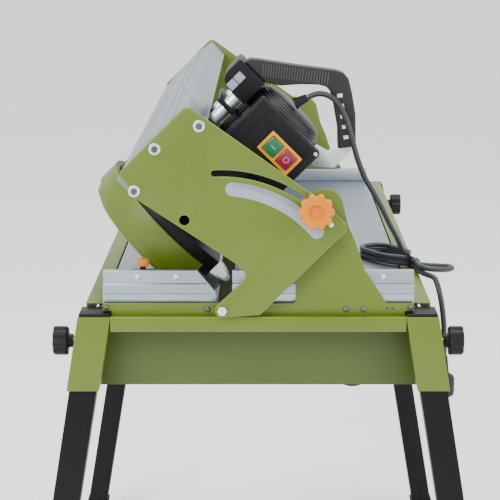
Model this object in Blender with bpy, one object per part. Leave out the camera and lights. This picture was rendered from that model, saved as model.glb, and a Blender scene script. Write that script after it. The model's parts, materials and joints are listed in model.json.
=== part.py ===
"""Rail tile cutter on a four-legged stand, its saw head tilted to 45 degrees.

Frame: +X to the right, +Y along the machine, +Z up, origin on the floor under the middle of the stand.
The head is modelled upright, in its own axes (across, along, up), under an empty on the tilt axis.
"""
from math import asin, cos, pi, radians, sin

import bmesh
import bpy
from mathutils import Vector

# Driving dimensions, in metres.
TABLE_TOP = 0.800
GAP = 0.0003
HALF_LENGTH = 0.575
TABLE_HALF_LENGTH = 0.5565
TABLE_HALF_WIDTH = 0.238
TABLE_THICKNESS = 0.006
SLOT_LEFT, SLOT_RIGHT = -0.063, -0.040
SIDE_RAIL_OUTER = 0.267
SIDE_RAIL_INNER = 0.241
LEDGE_TOP = TABLE_TOP - 0.0123
LEDGE_DEPTH = 0.026
STEEL = 0.003

SPLAY = 0.17
SOCKET_X, SOCKET_Y = 0.0495, 0.048
SOCKET_CENTRE = 0.2503
SOCKET_BOTTOM = TABLE_TOP - 0.130
LEG_X, LEG_Y = 0.0422, 0.041
LEG_TOP = TABLE_TOP - 0.018
FOOT_HEIGHT = 0.044
CLAMP_Z = TABLE_TOP - 0.0555

PIVOT_X = -0.0549
BEVEL = radians(45)
BRACKET_THICKNESS = 0.005
BRACKET_Y = HALF_LENGTH + 0.0015
POST_THICKNESS = 0.005
POST_Y = HALF_LENGTH - 0.012
LOCK_RADIUS = 0.2105
LOCK_ANGLE = radians(2.9)

RAIL_LEFT, RAIL_RIGHT = 0.031, 0.182
RAIL_BOTTOM, RAIL_TOP = 0.213, 0.2515
RAIL_CROWN = 0.006
RAIL_LIP = 0.219
ROLLER_RADIUS = 0.012
ROLLER_SPACING = 0.110

CARRIAGE_Y = -0.348
SPINDLE_UP = 0.116
BLADE_RADIUS = 0.125
BLADE_THICKNESS = 0.0024
MOTOR_RADIUS = 0.066
BOX_FRONT = -0.100
BOX_DEPTH = 0.0325
HANDLE_FRONT, HANDLE_BACK = -0.042, -0.012

CORD_RADIUS = 0.0045
HANK_LENGTH, HANK_WIDTH, HANK_HEIGHT = 0.220, 0.066, 0.0185
HANK_CENTRE = Vector((0.251, -0.278, TABLE_TOP + 0.0004))
HANK_HEADING = radians(-56.3)
GUARD_RIM = 0.0085

COLOURS = {
    "green": ((0.255, 0.365, 0.075), 0.42, 0.0),
    "dark_green": ((0.155, 0.225, 0.050), 0.5, 0.0),
    "black": ((0.018, 0.018, 0.022), 0.5, 0.0),
    "grey": ((0.080, 0.085, 0.100), 0.5, 0.0),
    "aluminium": ((0.620, 0.660, 0.700), 0.32, 1.0),
    "steel": ((0.560, 0.580, 0.600), 0.28, 1.0),
    "zinc": ((0.520, 0.640, 0.660), 0.22, 1.0),
    "orange": ((0.900, 0.340, 0.060), 0.4, 0.0),
    "yellow": ((0.920, 0.520, 0.120), 0.4, 0.0),
    "go_green": ((0.050, 0.380, 0.180), 0.35, 0.0),
    "stop_red": ((0.620, 0.040, 0.140), 0.35, 0.0),
    "rubber": ((0.030, 0.030, 0.032), 0.8, 0.0),
}


def material(name):
    """One Principled material for each colour name."""
    found = bpy.data.materials.get(name)
    if found:
        return found
    colour, roughness, metallic = COLOURS[name]
    made = bpy.data.materials.new(name)
    made.use_nodes = True
    shader = made.node_tree.nodes["Principled BSDF"]
    shader.inputs["Base Color"].default_value = (*colour, 1.0)
    shader.inputs["Roughness"].default_value = roughness
    shader.inputs["Metallic"].default_value = metallic
    return made


def finish(name, mesh_data, colour, parent=None, location=(0, 0, 0)):
    """Turn a bmesh into a named object with its material."""
    bmesh.ops.recalc_face_normals(mesh_data, faces=mesh_data.faces)
    mesh = bpy.data.meshes.new(name)
    mesh_data.to_mesh(mesh)
    mesh_data.free()
    made = bpy.data.objects.new(name, mesh)
    bpy.context.scene.collection.objects.link(made)
    made.data.materials.append(material(colour))
    made.parent = parent
    made.location = location
    return made


def helper(made):
    """Mark an object as a cutter or an added part, not a node."""
    made.hide_render = True
    made.display_type = "WIRE"
    return made


def combine(target, other, operation):
    """Cut or join another object into the target with an exact Boolean."""
    helper(other)
    step = target.modifiers.new(other.name, "BOOLEAN")
    step.solver = "EXACT"
    step.operation = operation
    step.object = other
    return target


def box(name, low, high, colour="steel", parent=None):
    """An upright box between two corners."""
    mesh_data = bmesh.new()
    bmesh.ops.create_cube(mesh_data, size=1.0)
    for vertex in mesh_data.verts:
        for axis in range(3):
            middle = (low[axis] + high[axis]) / 2
            vertex.co[axis] = middle + vertex.co[axis] * (high[axis] - low[axis])
    return finish(name, mesh_data, colour, parent)


def prism(name, outline, low, high, colour="steel", parent=None, axis="Y"):
    """A flat outline drawn out along one axis; the outline holds the other two coordinates in order."""
    mesh_data = bmesh.new()
    rings = []
    for depth in (low, high):
        ring = []
        for first, second in outline:
            place = {"X": (depth, first, second), "Y": (first, depth, second), "Z": (first, second, depth)}
            ring.append(mesh_data.verts.new(place[axis]))
        rings.append(ring)
    count = len(outline)
    mesh_data.faces.new(rings[0])
    mesh_data.faces.new(list(reversed(rings[1])))
    for index in range(count):
        after = (index + 1) % count
        mesh_data.faces.new((rings[0][index], rings[1][index], rings[1][after], rings[0][after]))
    return finish(name, mesh_data, colour, parent)


def turned(name, profile, colour="steel", parent=None, axis="X", centre=(0, 0, 0), segments=24, phase=0.0):
    """A solid of revolution; the profile lists (distance along the axis, radius)."""
    mesh_data = bmesh.new()
    rings = []
    for along, radius in profile:
        ring = []
        for index in range(segments if radius > 0 else 1):
            turn = 2 * pi * index / segments + phase
            first, second = radius * cos(turn), radius * sin(turn)
            place = {"X": (along, first, second), "Y": (first, along, second), "Z": (first, second, along)}
            ring.append(mesh_data.verts.new(Vector(place[axis]) + Vector(centre)))
        rings.append(ring)
    for start, end in zip(rings, rings[1:]):
        for index in range(segments):
            after = (index + 1) % segments
            corners = [start[index % len(start)], start[after % len(start)], end[after % len(end)], end[index % len(end)]]
            mesh_data.faces.new(list(dict.fromkeys(corners)))
    return finish(name, mesh_data, colour, parent)


def rod(name, start, end, radius, colour="steel", parent=None, axis="X", centre=(0, 0, 0), segments=20):
    """A plain round bar along one axis."""
    profile = [(start, 0), (start, radius), (end, radius), (end, 0)]
    return turned(name, profile, colour, parent, axis, centre, segments)


def arc(centre, radius, start, end, steps):
    """Points along an arc, both ends included."""
    return [
        (centre[0] + radius * cos(start + (end - start) * step / steps),
         centre[1] + radius * sin(start + (end - start) * step / steps))
        for step in range(steps + 1)
    ]


def lean(height):
    """How far out a leg's centre line lies at a height."""
    return SOCKET_CENTRE + (LEDGE_TOP - height) * SPLAY


def splayed_tube(name, size, wall, low, high, corner, colour, floor=0.0):
    """A square tube cut level at both ends, leaning out; floor leaves a closed bottom of that thickness."""
    side, end = corner

    def block(block_name, width, depth, bottom, top):
        mesh_data = bmesh.new()
        levels = []
        for height in (bottom, top):
            middle = side * lean(height)
            corners = ((-1, -1), (1, -1), (1, 1), (-1, 1))
            levels.append([
                mesh_data.verts.new((middle + x * width / 2, end + y * depth / 2, height)) for x, y in corners
            ])
        mesh_data.faces.new(levels[0])
        mesh_data.faces.new(list(reversed(levels[1])))
        for index in range(4):
            after = (index + 1) % 4
            mesh_data.faces.new((levels[0][index], levels[1][index], levels[1][after], levels[0][after]))
        return finish(block_name, mesh_data, colour)

    outer = block(name, size[0], size[1], low, high)
    bottom = low + floor if floor else low - 0.01
    inner = block(name + "_hollow", size[0] - 2 * wall, size[1] - 2 * wall, bottom, high + 0.01)
    return combine(outer, inner, "DIFFERENCE")


def lobed_knob(name, radius, lobes, profile_along, colour, axis, centre, parent=None, depth=0.0025):
    """A hand knob with round lobes; profile_along is its start and end along the axis."""
    mesh_data = bmesh.new()
    steps = lobes * 4
    low, high = profile_along
    rings = []
    for along, scale in ((low, 0.9), (low + (high - low) * 0.25, 1.0), (low + (high - low) * 0.8, 1.0), (high, 0.9)):
        ring = []
        for index in range(steps):
            turn = 2 * pi * index / steps
            reach = (radius - depth + depth * cos(turn * lobes)) * scale
            first, second = reach * cos(turn), reach * sin(turn)
            place = {"X": (along, first, second), "Y": (first, along, second), "Z": (first, second, along)}
            ring.append(mesh_data.verts.new(Vector(place[axis]) + Vector(centre)))
        rings.append(ring)
    mesh_data.faces.new(rings[0])
    mesh_data.faces.new(list(reversed(rings[-1])))
    for start, end in zip(rings, rings[1:]):
        for index in range(steps):
            after = (index + 1) % steps
            mesh_data.faces.new((start[index], end[index], end[after], start[after]))
    return finish(name, mesh_data, colour, parent)


def empty(name, location, rotation=(0, 0, 0), parent=None):
    """A guide that carries a group of objects."""
    made = bpy.data.objects.new(name, None)
    bpy.context.scene.collection.objects.link(made)
    made.location = location
    made.rotation_euler = rotation
    made.parent = parent
    return made


# Stand: base frame, water tub and legs.

def base_frame():
    """Angle side rails and end rails between the four corner sockets."""
    for side, word in ((-1, "left"), (1, "right")):
        inner, outer = side * SIDE_RAIL_INNER, side * SIDE_RAIL_OUTER
        web = side * (SIDE_RAIL_OUTER - STEEL)
        top, bottom = TABLE_TOP - 0.001, TABLE_TOP - 0.040
        outline = [(outer, bottom), (outer, top), (inner, top), (inner, top - STEEL), (web, top - STEEL), (web, bottom)]
        length = HALF_LENGTH - SOCKET_Y - GAP
        prism(f"side_rail_{word}", outline, -length, length, "green")
    for end, word in ((-1, "near"), (1, "far")):
        front, back = end * HALF_LENGTH, end * (HALF_LENGTH - LEDGE_DEPTH)
        face, bottom = end * (HALF_LENGTH - STEEL), LEDGE_TOP - 0.023
        outline = [(front, bottom), (front, LEDGE_TOP), (back, LEDGE_TOP), (back, LEDGE_TOP - STEEL),
                   (face, LEDGE_TOP - STEEL), (face, bottom)]
        reach = SOCKET_CENTRE - SOCKET_X / 2 - GAP
        prism(f"end_rail_{word}", outline, -reach, reach, "green", axis="X")


def water_tub():
    """Open sheet-metal tub under the table."""
    reach_x, reach_y = 0.2480, HALF_LENGTH - SOCKET_Y - 2 * GAP
    top, bottom = TABLE_TOP - TABLE_THICKNESS - GAP, TABLE_TOP - 0.1345
    tub = box("water_tub", (-reach_x, -reach_y, bottom), (reach_x, reach_y, top), "dark_green")
    hollow = box("tub_hollow", (-reach_x + STEEL, -reach_y + STEEL, bottom + STEEL),
                 (reach_x - STEEL, reach_y - STEEL, top + 0.01))
    combine(tub, hollow, "DIFFERENCE")
    rod("drain_plug", bottom - GAP - 0.016, bottom - GAP, 0.015, "black", axis="Z", centre=(0.150, -0.470, 0))
    box("water_pump", (0.080, -0.050, bottom + STEEL + GAP), (0.160, 0.050, bottom + 0.062), "black")


def leg_set():
    """Corner sockets, splayed legs, rubber feet and clamp knobs."""
    corners = (("near_left", -1, -1), ("near_right", 1, -1), ("far_left", -1, 1), ("far_right", 1, 1))
    for word, side, end in corners:
        corner = (side, end * (HALF_LENGTH - SOCKET_Y / 2))
        socket = splayed_tube(f"leg_socket_{word}", (SOCKET_X, SOCKET_Y), STEEL, SOCKET_BOTTOM, LEDGE_TOP, corner, "green")
        splayed_tube(f"leg_{word}", (LEG_X, LEG_Y), 0.002, 0.014 + GAP, LEG_TOP, corner, "black")
        foot_wall = 0.003
        foot_size = (LEG_X + 2 * (foot_wall + GAP), LEG_Y + 2 * (foot_wall + GAP))
        splayed_tube(f"foot_{word}", foot_size, foot_wall, 0.0, FOOT_HEIGHT, corner, "rubber", floor=0.014)
        face = lean(CLAMP_Z) + SOCKET_X / 2
        start = (0, corner[1], CLAMP_Z)
        hole = rod(f"clamp_hole_{word}", side * (face - 0.010), side * (face + 0.010), 0.0044, axis="X", centre=start)
        combine(socket, hole, "DIFFERENCE")
        neck_start = face + 0.0026
        knob = lobed_knob(f"clamp_knob_{word}", 0.023, 8, (side * (neck_start + 0.0065), side * (neck_start + 0.0303)),
                          "black", "X", start)
        neck = rod(f"clamp_neck_{word}", side * neck_start, side * (neck_start + 0.010), 0.0115, axis="X", centre=start)
        stud = rod(f"clamp_stud_{word}", side * (lean(CLAMP_Z) + LEG_X / 2 + 0.0012), side * (neck_start + 0.012),
                   0.004, axis="X", centre=start)
        combine(knob, neck, "UNION")
        combine(knob, stud, "UNION")


# End plates, table and fences.

def lock_place():
    """Centre of the lock stud, in the stand's X and Z."""
    angle = LOCK_ANGLE + BEVEL
    return PIVOT_X + LOCK_RADIUS * cos(angle), TABLE_TOP + LOCK_RADIUS * sin(angle)


def end_plates():
    """Fixed upright plates: a low strip that carries the tilt pivot, with one post for the bevel lock."""
    lock_x, lock_z = lock_place()
    low, notch, top = LEDGE_TOP + GAP, TABLE_TOP - 0.0055, TABLE_TOP + 0.0062
    edge, step = 0.2375, 0.224
    for end, word in ((-1, "near"), (1, "far")):
        outline = [(-edge, notch), (-step, notch), (-step, low), (step, low), (step, notch), (edge, notch), (edge, top)]
        outline += [(0.196, top), (0.1619, TABLE_TOP + 0.0585), (0.147, TABLE_TOP + 0.102), (0.1357, TABLE_TOP + 0.128)]
        outline += arc((lock_x + 0.014, lock_z), 0.028, radians(5), radians(120), 6)
        outline += [(lock_x - 0.030, lock_z - 0.004), (0.057, TABLE_TOP + 0.060), (0.057, top + 0.006)]
        outline += arc((0.051, top + 0.006), 0.006, 0, -pi / 2, 3)[1:]
        outline += [(-edge, top)]
        front = end * POST_Y
        plate = prism(f"end_plate_{word}", outline, front, front - end * POST_THICKNESS, "green")
        span = (front - 0.01, front + 0.01)
        combine(plate, rod(f"pivot_hole_{word}", *span, 0.0044, axis="Y", centre=(PIVOT_X, 0, TABLE_TOP)), "DIFFERENCE")
        combine(plate, rod(f"stud_hole_{word}", *span, 0.0044, axis="Y", centre=(lock_x, 0, lock_z)), "DIFFERENCE")


def tilt_fasteners():
    """Pivot bolts and star-shaped bevel lock knobs, on both end plates."""
    lock_x, lock_z = lock_place()
    outer = BRACKET_Y + BRACKET_THICKNESS + GAP
    inner = POST_Y - POST_THICKNESS
    for end, word in ((-1, "near"), (1, "far")):
        centre = (PIVOT_X, 0, TABLE_TOP)
        bolt = turned(f"pivot_bolt_{word}", [(end * outer, 0), (end * outer, 0.0075), (end * (outer + 0.0055), 0.0075),
                                             (end * (outer + 0.0065), 0.006), (end * (outer + 0.0065), 0)],
                      "zinc", axis="Y", centre=centre, segments=6)
        combine(bolt, rod(f"pivot_shank_{word}", end * (inner - 0.002), end * (outer + 0.002), 0.004, axis="Y",
                          centre=centre), "UNION")
        centre = (lock_x, 0, lock_z)
        knob = lobed_knob(f"bevel_lock_{word}", 0.0275, 10, (end * (outer + 0.010), end * (outer + 0.028)), "orange",
                          "Y", centre)
        hub = rod(f"lock_hub_{word}", end * outer, end * (outer + 0.012), 0.011, axis="Y", centre=centre)
        stud = rod(f"lock_stud_{word}", end * (inner - 0.002), end * (outer + 0.002), 0.004, axis="Y", centre=centre)
        combine(knob, hub, "UNION")
        combine(knob, stud, "UNION")


def table_plates():
    """Two table plates with the blade slot between them."""
    low, high = TABLE_TOP - TABLE_THICKNESS, TABLE_TOP
    for word, left, right in (("left", -TABLE_HALF_WIDTH, SLOT_LEFT), ("right", SLOT_RIGHT, TABLE_HALF_WIDTH)):
        box(f"table_{word}", (left, -TABLE_HALF_LENGTH, low), (right, TABLE_HALF_LENGTH, high), "aluminium")


def fences():
    """Stepped near fence in two pieces, with a mitred end for the tilted blade, and a plain far strip."""
    front, middle, back = -0.5560, -0.5470, -0.5370
    low, step, top = TABLE_TOP + GAP, TABLE_TOP + 0.0346, TABLE_TOP + 0.0542
    section = [(front, low), (front, step), (middle, step), (middle, top), (back, top), (back, low)]
    left = prism("fence_left", section, -TABLE_HALF_WIDTH, -0.0635, "aluminium", axis="X")
    cutter = [(-0.066, TABLE_TOP + 0.018), (-0.098, TABLE_TOP + 0.058), (-0.040, TABLE_TOP + 0.058),
              (-0.040, TABLE_TOP + 0.018)]
    combine(left, prism("fence_mitre", cutter, front - 0.01, back + 0.01), "DIFFERENCE")
    prism("fence_right", section, SLOT_RIGHT, TABLE_HALF_WIDTH, "aluminium", axis="X")
    box("fence_far", (SLOT_RIGHT, 0.540, low), (TABLE_HALF_WIDTH, 0.556, TABLE_TOP + 0.026), "aluminium")


def angle_stop():
    """Sliding angle stop behind the near fence, with its clamp knob."""
    low = TABLE_TOP + GAP
    stop = box("angle_stop", (-0.215, -0.5365, low), (-0.140, -0.508, low + 0.012), "black")
    post = box("stop_post", (-0.196, -0.5365, low + 0.006), (-0.160, -0.516, low + 0.050))
    combine(stop, post, "UNION")
    centre = (-0.178, -0.5262, 0)
    knob = lobed_knob("stop_knob", 0.0095, 8, (low + 0.0555, low + 0.068), "orange", "Z", centre, depth=0.0012)
    combine(knob, rod("stop_stem", low + 0.0503, low + 0.058, 0.005, axis="Z", centre=centre), "UNION")


# Tilting head: brackets and rail.

def tilt_brackets(head):
    """Plates at both ends of the rail, each with its arc slot for the lock stud."""
    outline = arc((0, 0), 0.011, radians(225), radians(75), 8)
    outline += [(0.052, 0.0095)]
    outline += arc((0.0555, 0.0205), 0.011, radians(-90), 0, 4)
    outline += [(0.0665, 0.037), (0.0316, 0.212), (0.0365, 0.234), (0.0395, 0.252), (0.044, 0.257), (0.180, 0.257)]
    outline += [(0.186, 0.250), (0.2226, 0.030), (0.227, -0.010), (0.226, -0.038), (0.218, -0.0455), (0.036, -0.0455)]
    slot = arc((0, 0), LOCK_RADIUS + 0.005, radians(2.9), radians(47.9), 18)
    slot += arc((LOCK_RADIUS * cos(radians(47.9)), LOCK_RADIUS * sin(radians(47.9))), 0.005,
                radians(47.9), radians(227.9), 6)[1:-1]
    slot += arc((0, 0), LOCK_RADIUS - 0.005, radians(47.9), radians(2.9), 18)
    slot += arc((LOCK_RADIUS * cos(LOCK_ANGLE), LOCK_RADIUS * sin(LOCK_ANGLE)), 0.005,
                radians(182.9), radians(362.9), 6)[1:-1]
    for end, word in ((-1, "near"), (1, "far")):
        face = end * BRACKET_Y
        bracket = prism(f"tilt_bracket_{word}", outline, face, face + end * BRACKET_THICKNESS, "green", head)
        span = sorted((face - end * 0.005, face + end * 0.012))
        combine(bracket, prism(f"arc_slot_{word}", slot, *span, parent=head), "DIFFERENCE")
        for index, (centre, radius) in enumerate((((0, 0), 0.0044), ((0.0592, 0.138), 0.008))):
            hole = rod(f"bracket_hole_{index}_{word}", *span, radius, parent=head, axis="Y",
                       centre=(centre[0], 0, centre[1]))
            combine(bracket, hole, "DIFFERENCE")


def guide_rail(head):
    """Crowned aluminium rail, open underneath, with lips for the carriage rollers."""
    middle = (RAIL_LEFT + RAIL_RIGHT) / 2
    half = (RAIL_RIGHT - RAIL_LEFT) / 2
    outline = [(RAIL_RIGHT, RAIL_BOTTOM), (RAIL_RIGHT, RAIL_TOP)]
    for step in range(1, 10):
        across = half - 2 * half * step / 10
        outline.append((middle + across, RAIL_TOP + RAIL_CROWN * cos(across / half * pi / 2)))
    outline += [(RAIL_LEFT, RAIL_TOP), (RAIL_LEFT, RAIL_BOTTOM)]
    opening, channel, ceiling = 0.025, 0.045, 0.245
    outline += [(middle - opening, RAIL_BOTTOM), (middle - opening, RAIL_LIP), (middle - channel, RAIL_LIP)]
    outline += [(middle - channel, ceiling), (middle + channel, ceiling), (middle + channel, RAIL_LIP)]
    outline += [(middle + opening, RAIL_LIP), (middle + opening, RAIL_BOTTOM)]
    reach = BRACKET_Y - GAP
    prism("guide_rail", outline, -reach, reach, "aluminium", head)


# Carriage: hanger, rollers, motor, blade and guards.

def hanger(carriage):
    """Block that hangs from the rail and carries the motor, with two roller sets."""
    middle = (RAIL_LEFT + RAIL_RIGHT) / 2
    top_of_motor = SPINDLE_UP + MOTOR_RADIUS + GAP
    web = box("carriage_hanger", (middle - 0.020, -0.070, 0.190), (middle + 0.020, 0.070, 0.240), "grey", carriage)
    plate = box("hanger_plate", (0.045, -0.080, top_of_motor), (0.176, 0.080, 0.196), parent=carriage)
    combine(web, plate, "UNION")
    for end, word in ((-1, "near"), (1, "far")):
        centre = (0, end * ROLLER_SPACING / 2, RAIL_LIP + GAP + ROLLER_RADIUS)
        hole = rod(f"axle_hole_{word}", middle - 0.03, middle + 0.03, 0.0044, parent=carriage, centre=centre)
        combine(web, hole, "DIFFERENCE")
        profile = [(-0.043, 0), (-0.043, 0.010), (-0.041, ROLLER_RADIUS), (-0.0275, ROLLER_RADIUS), (-0.0275, 0.004)]
        profile += [(-along, radius) for along, radius in reversed(profile)]
        turned(f"rollers_{word}", [(middle + along, radius) for along, radius in profile], "zinc", carriage,
               centre=centre)


def support_rods(carriage):
    """Two plated rods and a cross plate between the hanger and the motor cover."""
    low, high = 0.1763, 0.2277
    plate = box("support_rods", (0.203, -0.066, 0.183), (0.211, 0.066, 0.219), "zinc", carriage)
    for end in (-1, 1):
        bar = rod(f"support_rod_{end}", low, high, 0.0105, parent=carriage, centre=(0, end * 0.052, 0.1995))
        combine(plate, bar, "UNION")
    for index, end in enumerate((-1, 1)):
        arm = box(f"hanger_arm_{index}", (0.150, end * 0.052 - 0.014, 0.190), (0.176, end * 0.052 + 0.014, 0.211),
                  parent=carriage)
        combine(bpy.data.objects["carriage_hanger"], arm, "UNION")


def motor(carriage):
    """Motor body with its domed end, and the cover above it."""
    profile = [(0.034, 0), (0.034, 0.048), (0.040, 0.058), (0.060, 0.060), (0.066, MOTOR_RADIUS), (0.256, MOTOR_RADIUS),
               (0.268, 0.062), (0.277, 0.050), (0.2805, 0.034), (0.2805, 0)]
    turned("motor_body", profile, "grey", carriage, centre=(0, 0, SPINDLE_UP), segments=36)
    low, left, right, top = SPINDLE_UP + MOTOR_RADIUS + GAP, 0.228, 0.275, 0.238
    outline = [(left, low), (right, low), (right, top - 0.004)]
    outline += arc((right - 0.004, top - 0.004), 0.004, 0, pi / 2, 3)[1:]
    outline += arc((left + 0.020, top - 0.020), 0.020, pi / 2, pi, 6)
    prism("motor_cover", outline, -0.052, 0.050, "black", carriage)


def blade_set(carriage):
    """Diamond blade and the spindle with its flanges and nut."""
    centre = (0, 0, SPINDLE_UP)
    half = BLADE_THICKNESS / 2
    blade = rod("blade", -half, half, BLADE_RADIUS, "steel", carriage, centre=centre, segments=72)
    combine(blade, rod("blade_bore", -0.01, 0.01, 0.0103, parent=carriage, centre=centre), "DIFFERENCE")
    face = half + GAP
    profile = [(-0.019, 0), (-0.019, 0.009), (-face - 0.006, 0.009), (-face - 0.006, 0.022), (-face, 0.022),
               (-face, 0.010), (face, 0.010), (face, 0.022), (face + 0.006, 0.022), (face + 0.008, 0.012),
               (0.0337, 0.012), (0.0337, 0)]
    turned("spindle", profile, "zinc", carriage, centre=centre)


def guard_outline(radius, bottom, steps=20):
    """A circle cut off level at the bottom, along and up."""
    low = asin((bottom - SPINDLE_UP) / radius)
    return arc((0, SPINDLE_UP), radius, low, pi - low, steps)


def guards(carriage):
    """Black inner guard round the blade and the green outer cover beside it."""
    inner_left, inner_right = -0.0033, 0.0280
    radius, bottom, wall = 0.134, 0.0375, 0.003
    inner = prism("guard_inner", guard_outline(radius, bottom), inner_left, inner_right, "black", carriage, "X")
    hollow = prism("inner_hollow", guard_outline(radius - wall, bottom - 0.020), inner_left - 0.01,
                   inner_right - wall, parent=carriage, axis="X")
    combine(inner, hollow, "DIFFERENCE")
    hole = rod("spindle_hole", 0.0, 0.05, 0.0135, parent=carriage, centre=(0, 0, SPINDLE_UP))
    combine(inner, hole, "DIFFERENCE")

    left, right, radius, bottom = -0.050, -0.0036, 0.143, 0.056
    outer = None
    for index, (start, end, reach) in enumerate(((-0.030, right, 0.0), (-0.043, -0.030, 0.006), (left, -0.043, 0.018))):
        outline = guard_outline(radius - reach, bottom + reach * 0.4)
        slice_part = prism("guard_outer" if index == 0 else f"outer_slice_{index}", outline, start - (0.001 if index else 0),
                           end + (0.001 if index else 0), "green", carriage, "X")
        outer = slice_part if index == 0 else combine(outer, slice_part, "UNION")
    rim = prism("outer_rim", guard_outline(radius, bottom), right - 0.001, GUARD_RIM, parent=carriage, axis="X")
    combine(outer, rim, "UNION")
    hollow = prism("outer_hollow", guard_outline(0.1356, bottom - 0.025), -0.034, GUARD_RIM + 0.01,
                   parent=carriage, axis="X")
    combine(outer, hollow, "DIFFERENCE")


# Switch box and handle.

def switch_box(carriage):
    """Switch box on the motor's front, its bezel and two push buttons."""
    left, right, low, high = 0.165, 0.262, 0.046, 0.175
    front = BOX_FRONT
    case = box("switch_box", (left, front, low), (right, front + BOX_DEPTH, high), "black", carriage)
    edge = case.modifiers.new("edge", "BEVEL")
    edge.width = 0.003
    edge.segments = 1
    frame_left, frame_right, frame_low, frame_high = 0.1995, 0.2362, 0.0615, 0.1255
    bezel = box("switch_bezel", (frame_left, front - 0.0043, frame_low), (frame_right, front - GAP, frame_high), "yellow",
                carriage)
    names = (("button_green", 0.0965, 0.1195, "go_green"), ("button_red", 0.0675, 0.0905, "stop_red"))
    for name, bottom, top, colour in names:
        inset = 0.0055
        low_corner = (frame_left + inset, front - 0.0075, bottom)
        high_corner = (frame_right - inset, front - 0.0005, top)
        box(name, low_corner, high_corner, colour, carriage)
        cutter = box(f"{name}_window", (low_corner[0] - 0.0005, front - 0.02, bottom - 0.0005),
                     (high_corner[0] + 0.0005, front + 0.004, top + 0.0005), parent=carriage)
        combine(bezel, cutter, "DIFFERENCE")
        combine(case, cutter, "DIFFERENCE")


def handle(carriage):
    """Bent hand grip, its plated lower bar and the cord's strain relief."""
    outer = [(0.2755, 0.2285), (0.2850, 0.2265), (0.2935, 0.2165), (0.3250, 0.1735), (0.3690, 0.1160)]
    outer += [(0.3740, 0.1050), (0.3730, 0.0920), (0.3610, 0.0720), (0.3420, 0.0450), (0.3060, 0.0070)]
    inner = [(0.2830, 0.0250), (0.3050, 0.0480), (0.3280, 0.0810), (0.3385, 0.0990), (0.3395, 0.1090)]
    inner += [(0.3330, 0.1200), (0.3140, 0.1400), (0.2890, 0.1620), (0.2755, 0.1830)]
    grip = prism("handle", outer + inner, HANDLE_FRONT, HANDLE_BACK, "black", carriage)
    plate = [(0.3045, 0.0050), (0.2820, 0.0240), (0.2680, 0.0330), (0.2620, 0.0530), (0.2380, 0.0530),
             (0.2340, 0.0300), (0.2560, 0.0050)]
    middle = (HANDLE_FRONT + HANDLE_BACK) / 2
    plate_full = plate[:1] + [(0.3170, 0.0220), (0.2960, 0.0380)] + plate[1:]
    prism("handle_bar", plate_full, middle - 0.002, middle + 0.002, "zinc", carriage)
    slot = [(0.3300, 0.0350), (0.2990, 0.0560), (0.2700, 0.0250), (0.3045, -0.0100)]
    cutter = prism("handle_slot", slot, middle - 0.0023, middle + 0.0023, parent=carriage)
    combine(grip, cutter, "DIFFERENCE")

    start, tip = Vector((0.2848, -0.045, 0.1260)), Vector((0.3066, -0.045, 0.1186))
    length = (tip - start).length
    profile = [(0, 0), (0, 0.0100), (0.004, 0.0100), (0.005, 0.0085), (length, 0.0062), (length, 0)]
    relief = turned("cord_gland", profile, "black", carriage, segments=16)
    relief.rotation_euler = Vector((1, 0, 0)).rotation_difference(tip - start).to_euler()
    relief.location = start


# Cord: free stretch, hank, tail and plug. The points are chosen by hand along the route.

UPPER_ROUTE = [
    (0.0788, -0.3930, 1.1012), (0.0950, -0.3952, 1.1068), (0.1120, -0.3995, 1.1040), (0.1270, -0.4048, 1.0910),
    (0.1385, -0.4090, 1.0690), (0.1480, -0.4110, 1.0390), (0.1575, -0.4080, 1.0060), (0.1700, -0.3980, 0.9740),
    (0.1860, -0.3820, 0.9450), (0.2010, -0.3635, 0.9170), (0.2160, -0.3420, 0.8860), (0.2315, -0.3190, 0.8560),
    (0.2445, -0.2970, 0.8275),
]
TAIL_ROUTE = [
    (0.2866, -0.3822, 0.8040), (0.2900, -0.3890, 0.8000), (0.2935, -0.3965, 0.7900), (0.2970, -0.4040, 0.7740),
    (0.3005, -0.4070, 0.7520), (0.3030, -0.4080, 0.7280), (0.3040, -0.4083, 0.7020), (0.3042, -0.4084, 0.6770),
]


def smooth_route(route, spacing):
    """Points along a Catmull-Rom curve through the route, about one spacing apart."""
    points = [Vector(point) for point in route]
    padded = [points[0] * 2 - points[1]] + points + [points[-1] * 2 - points[-2]]
    found = []
    for index in range(1, len(padded) - 2):
        before, start, end, after = padded[index - 1:index + 3]
        steps = max(1, round((end - start).length / spacing))
        for step in range(steps):
            t = step / steps
            found.append(0.5 * (2 * start + (end - before) * t + (2 * before - 5 * start + 4 * end - after) * t * t
                                + (3 * start - before - 3 * end + after) * t ** 3))
    return found + [points[-1]]


def cord_tube(name, route):
    """Round tube through a route."""
    curve = bpy.data.curves.new(name, "CURVE")
    curve.dimensions = "3D"
    curve.bevel_depth = CORD_RADIUS
    curve.bevel_resolution = 2
    curve.use_fill_caps = True
    points = smooth_route(route, CORD_RADIUS * 5)
    spline = curve.splines.new("POLY")
    spline.points.add(len(points) - 1)
    for point, place in zip(spline.points, points):
        point.co = (*place, 1)
    made = bpy.data.objects.new(name, curve)
    made.data.materials.append(material("rubber"))
    bpy.context.scene.collection.objects.link(made)


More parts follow.
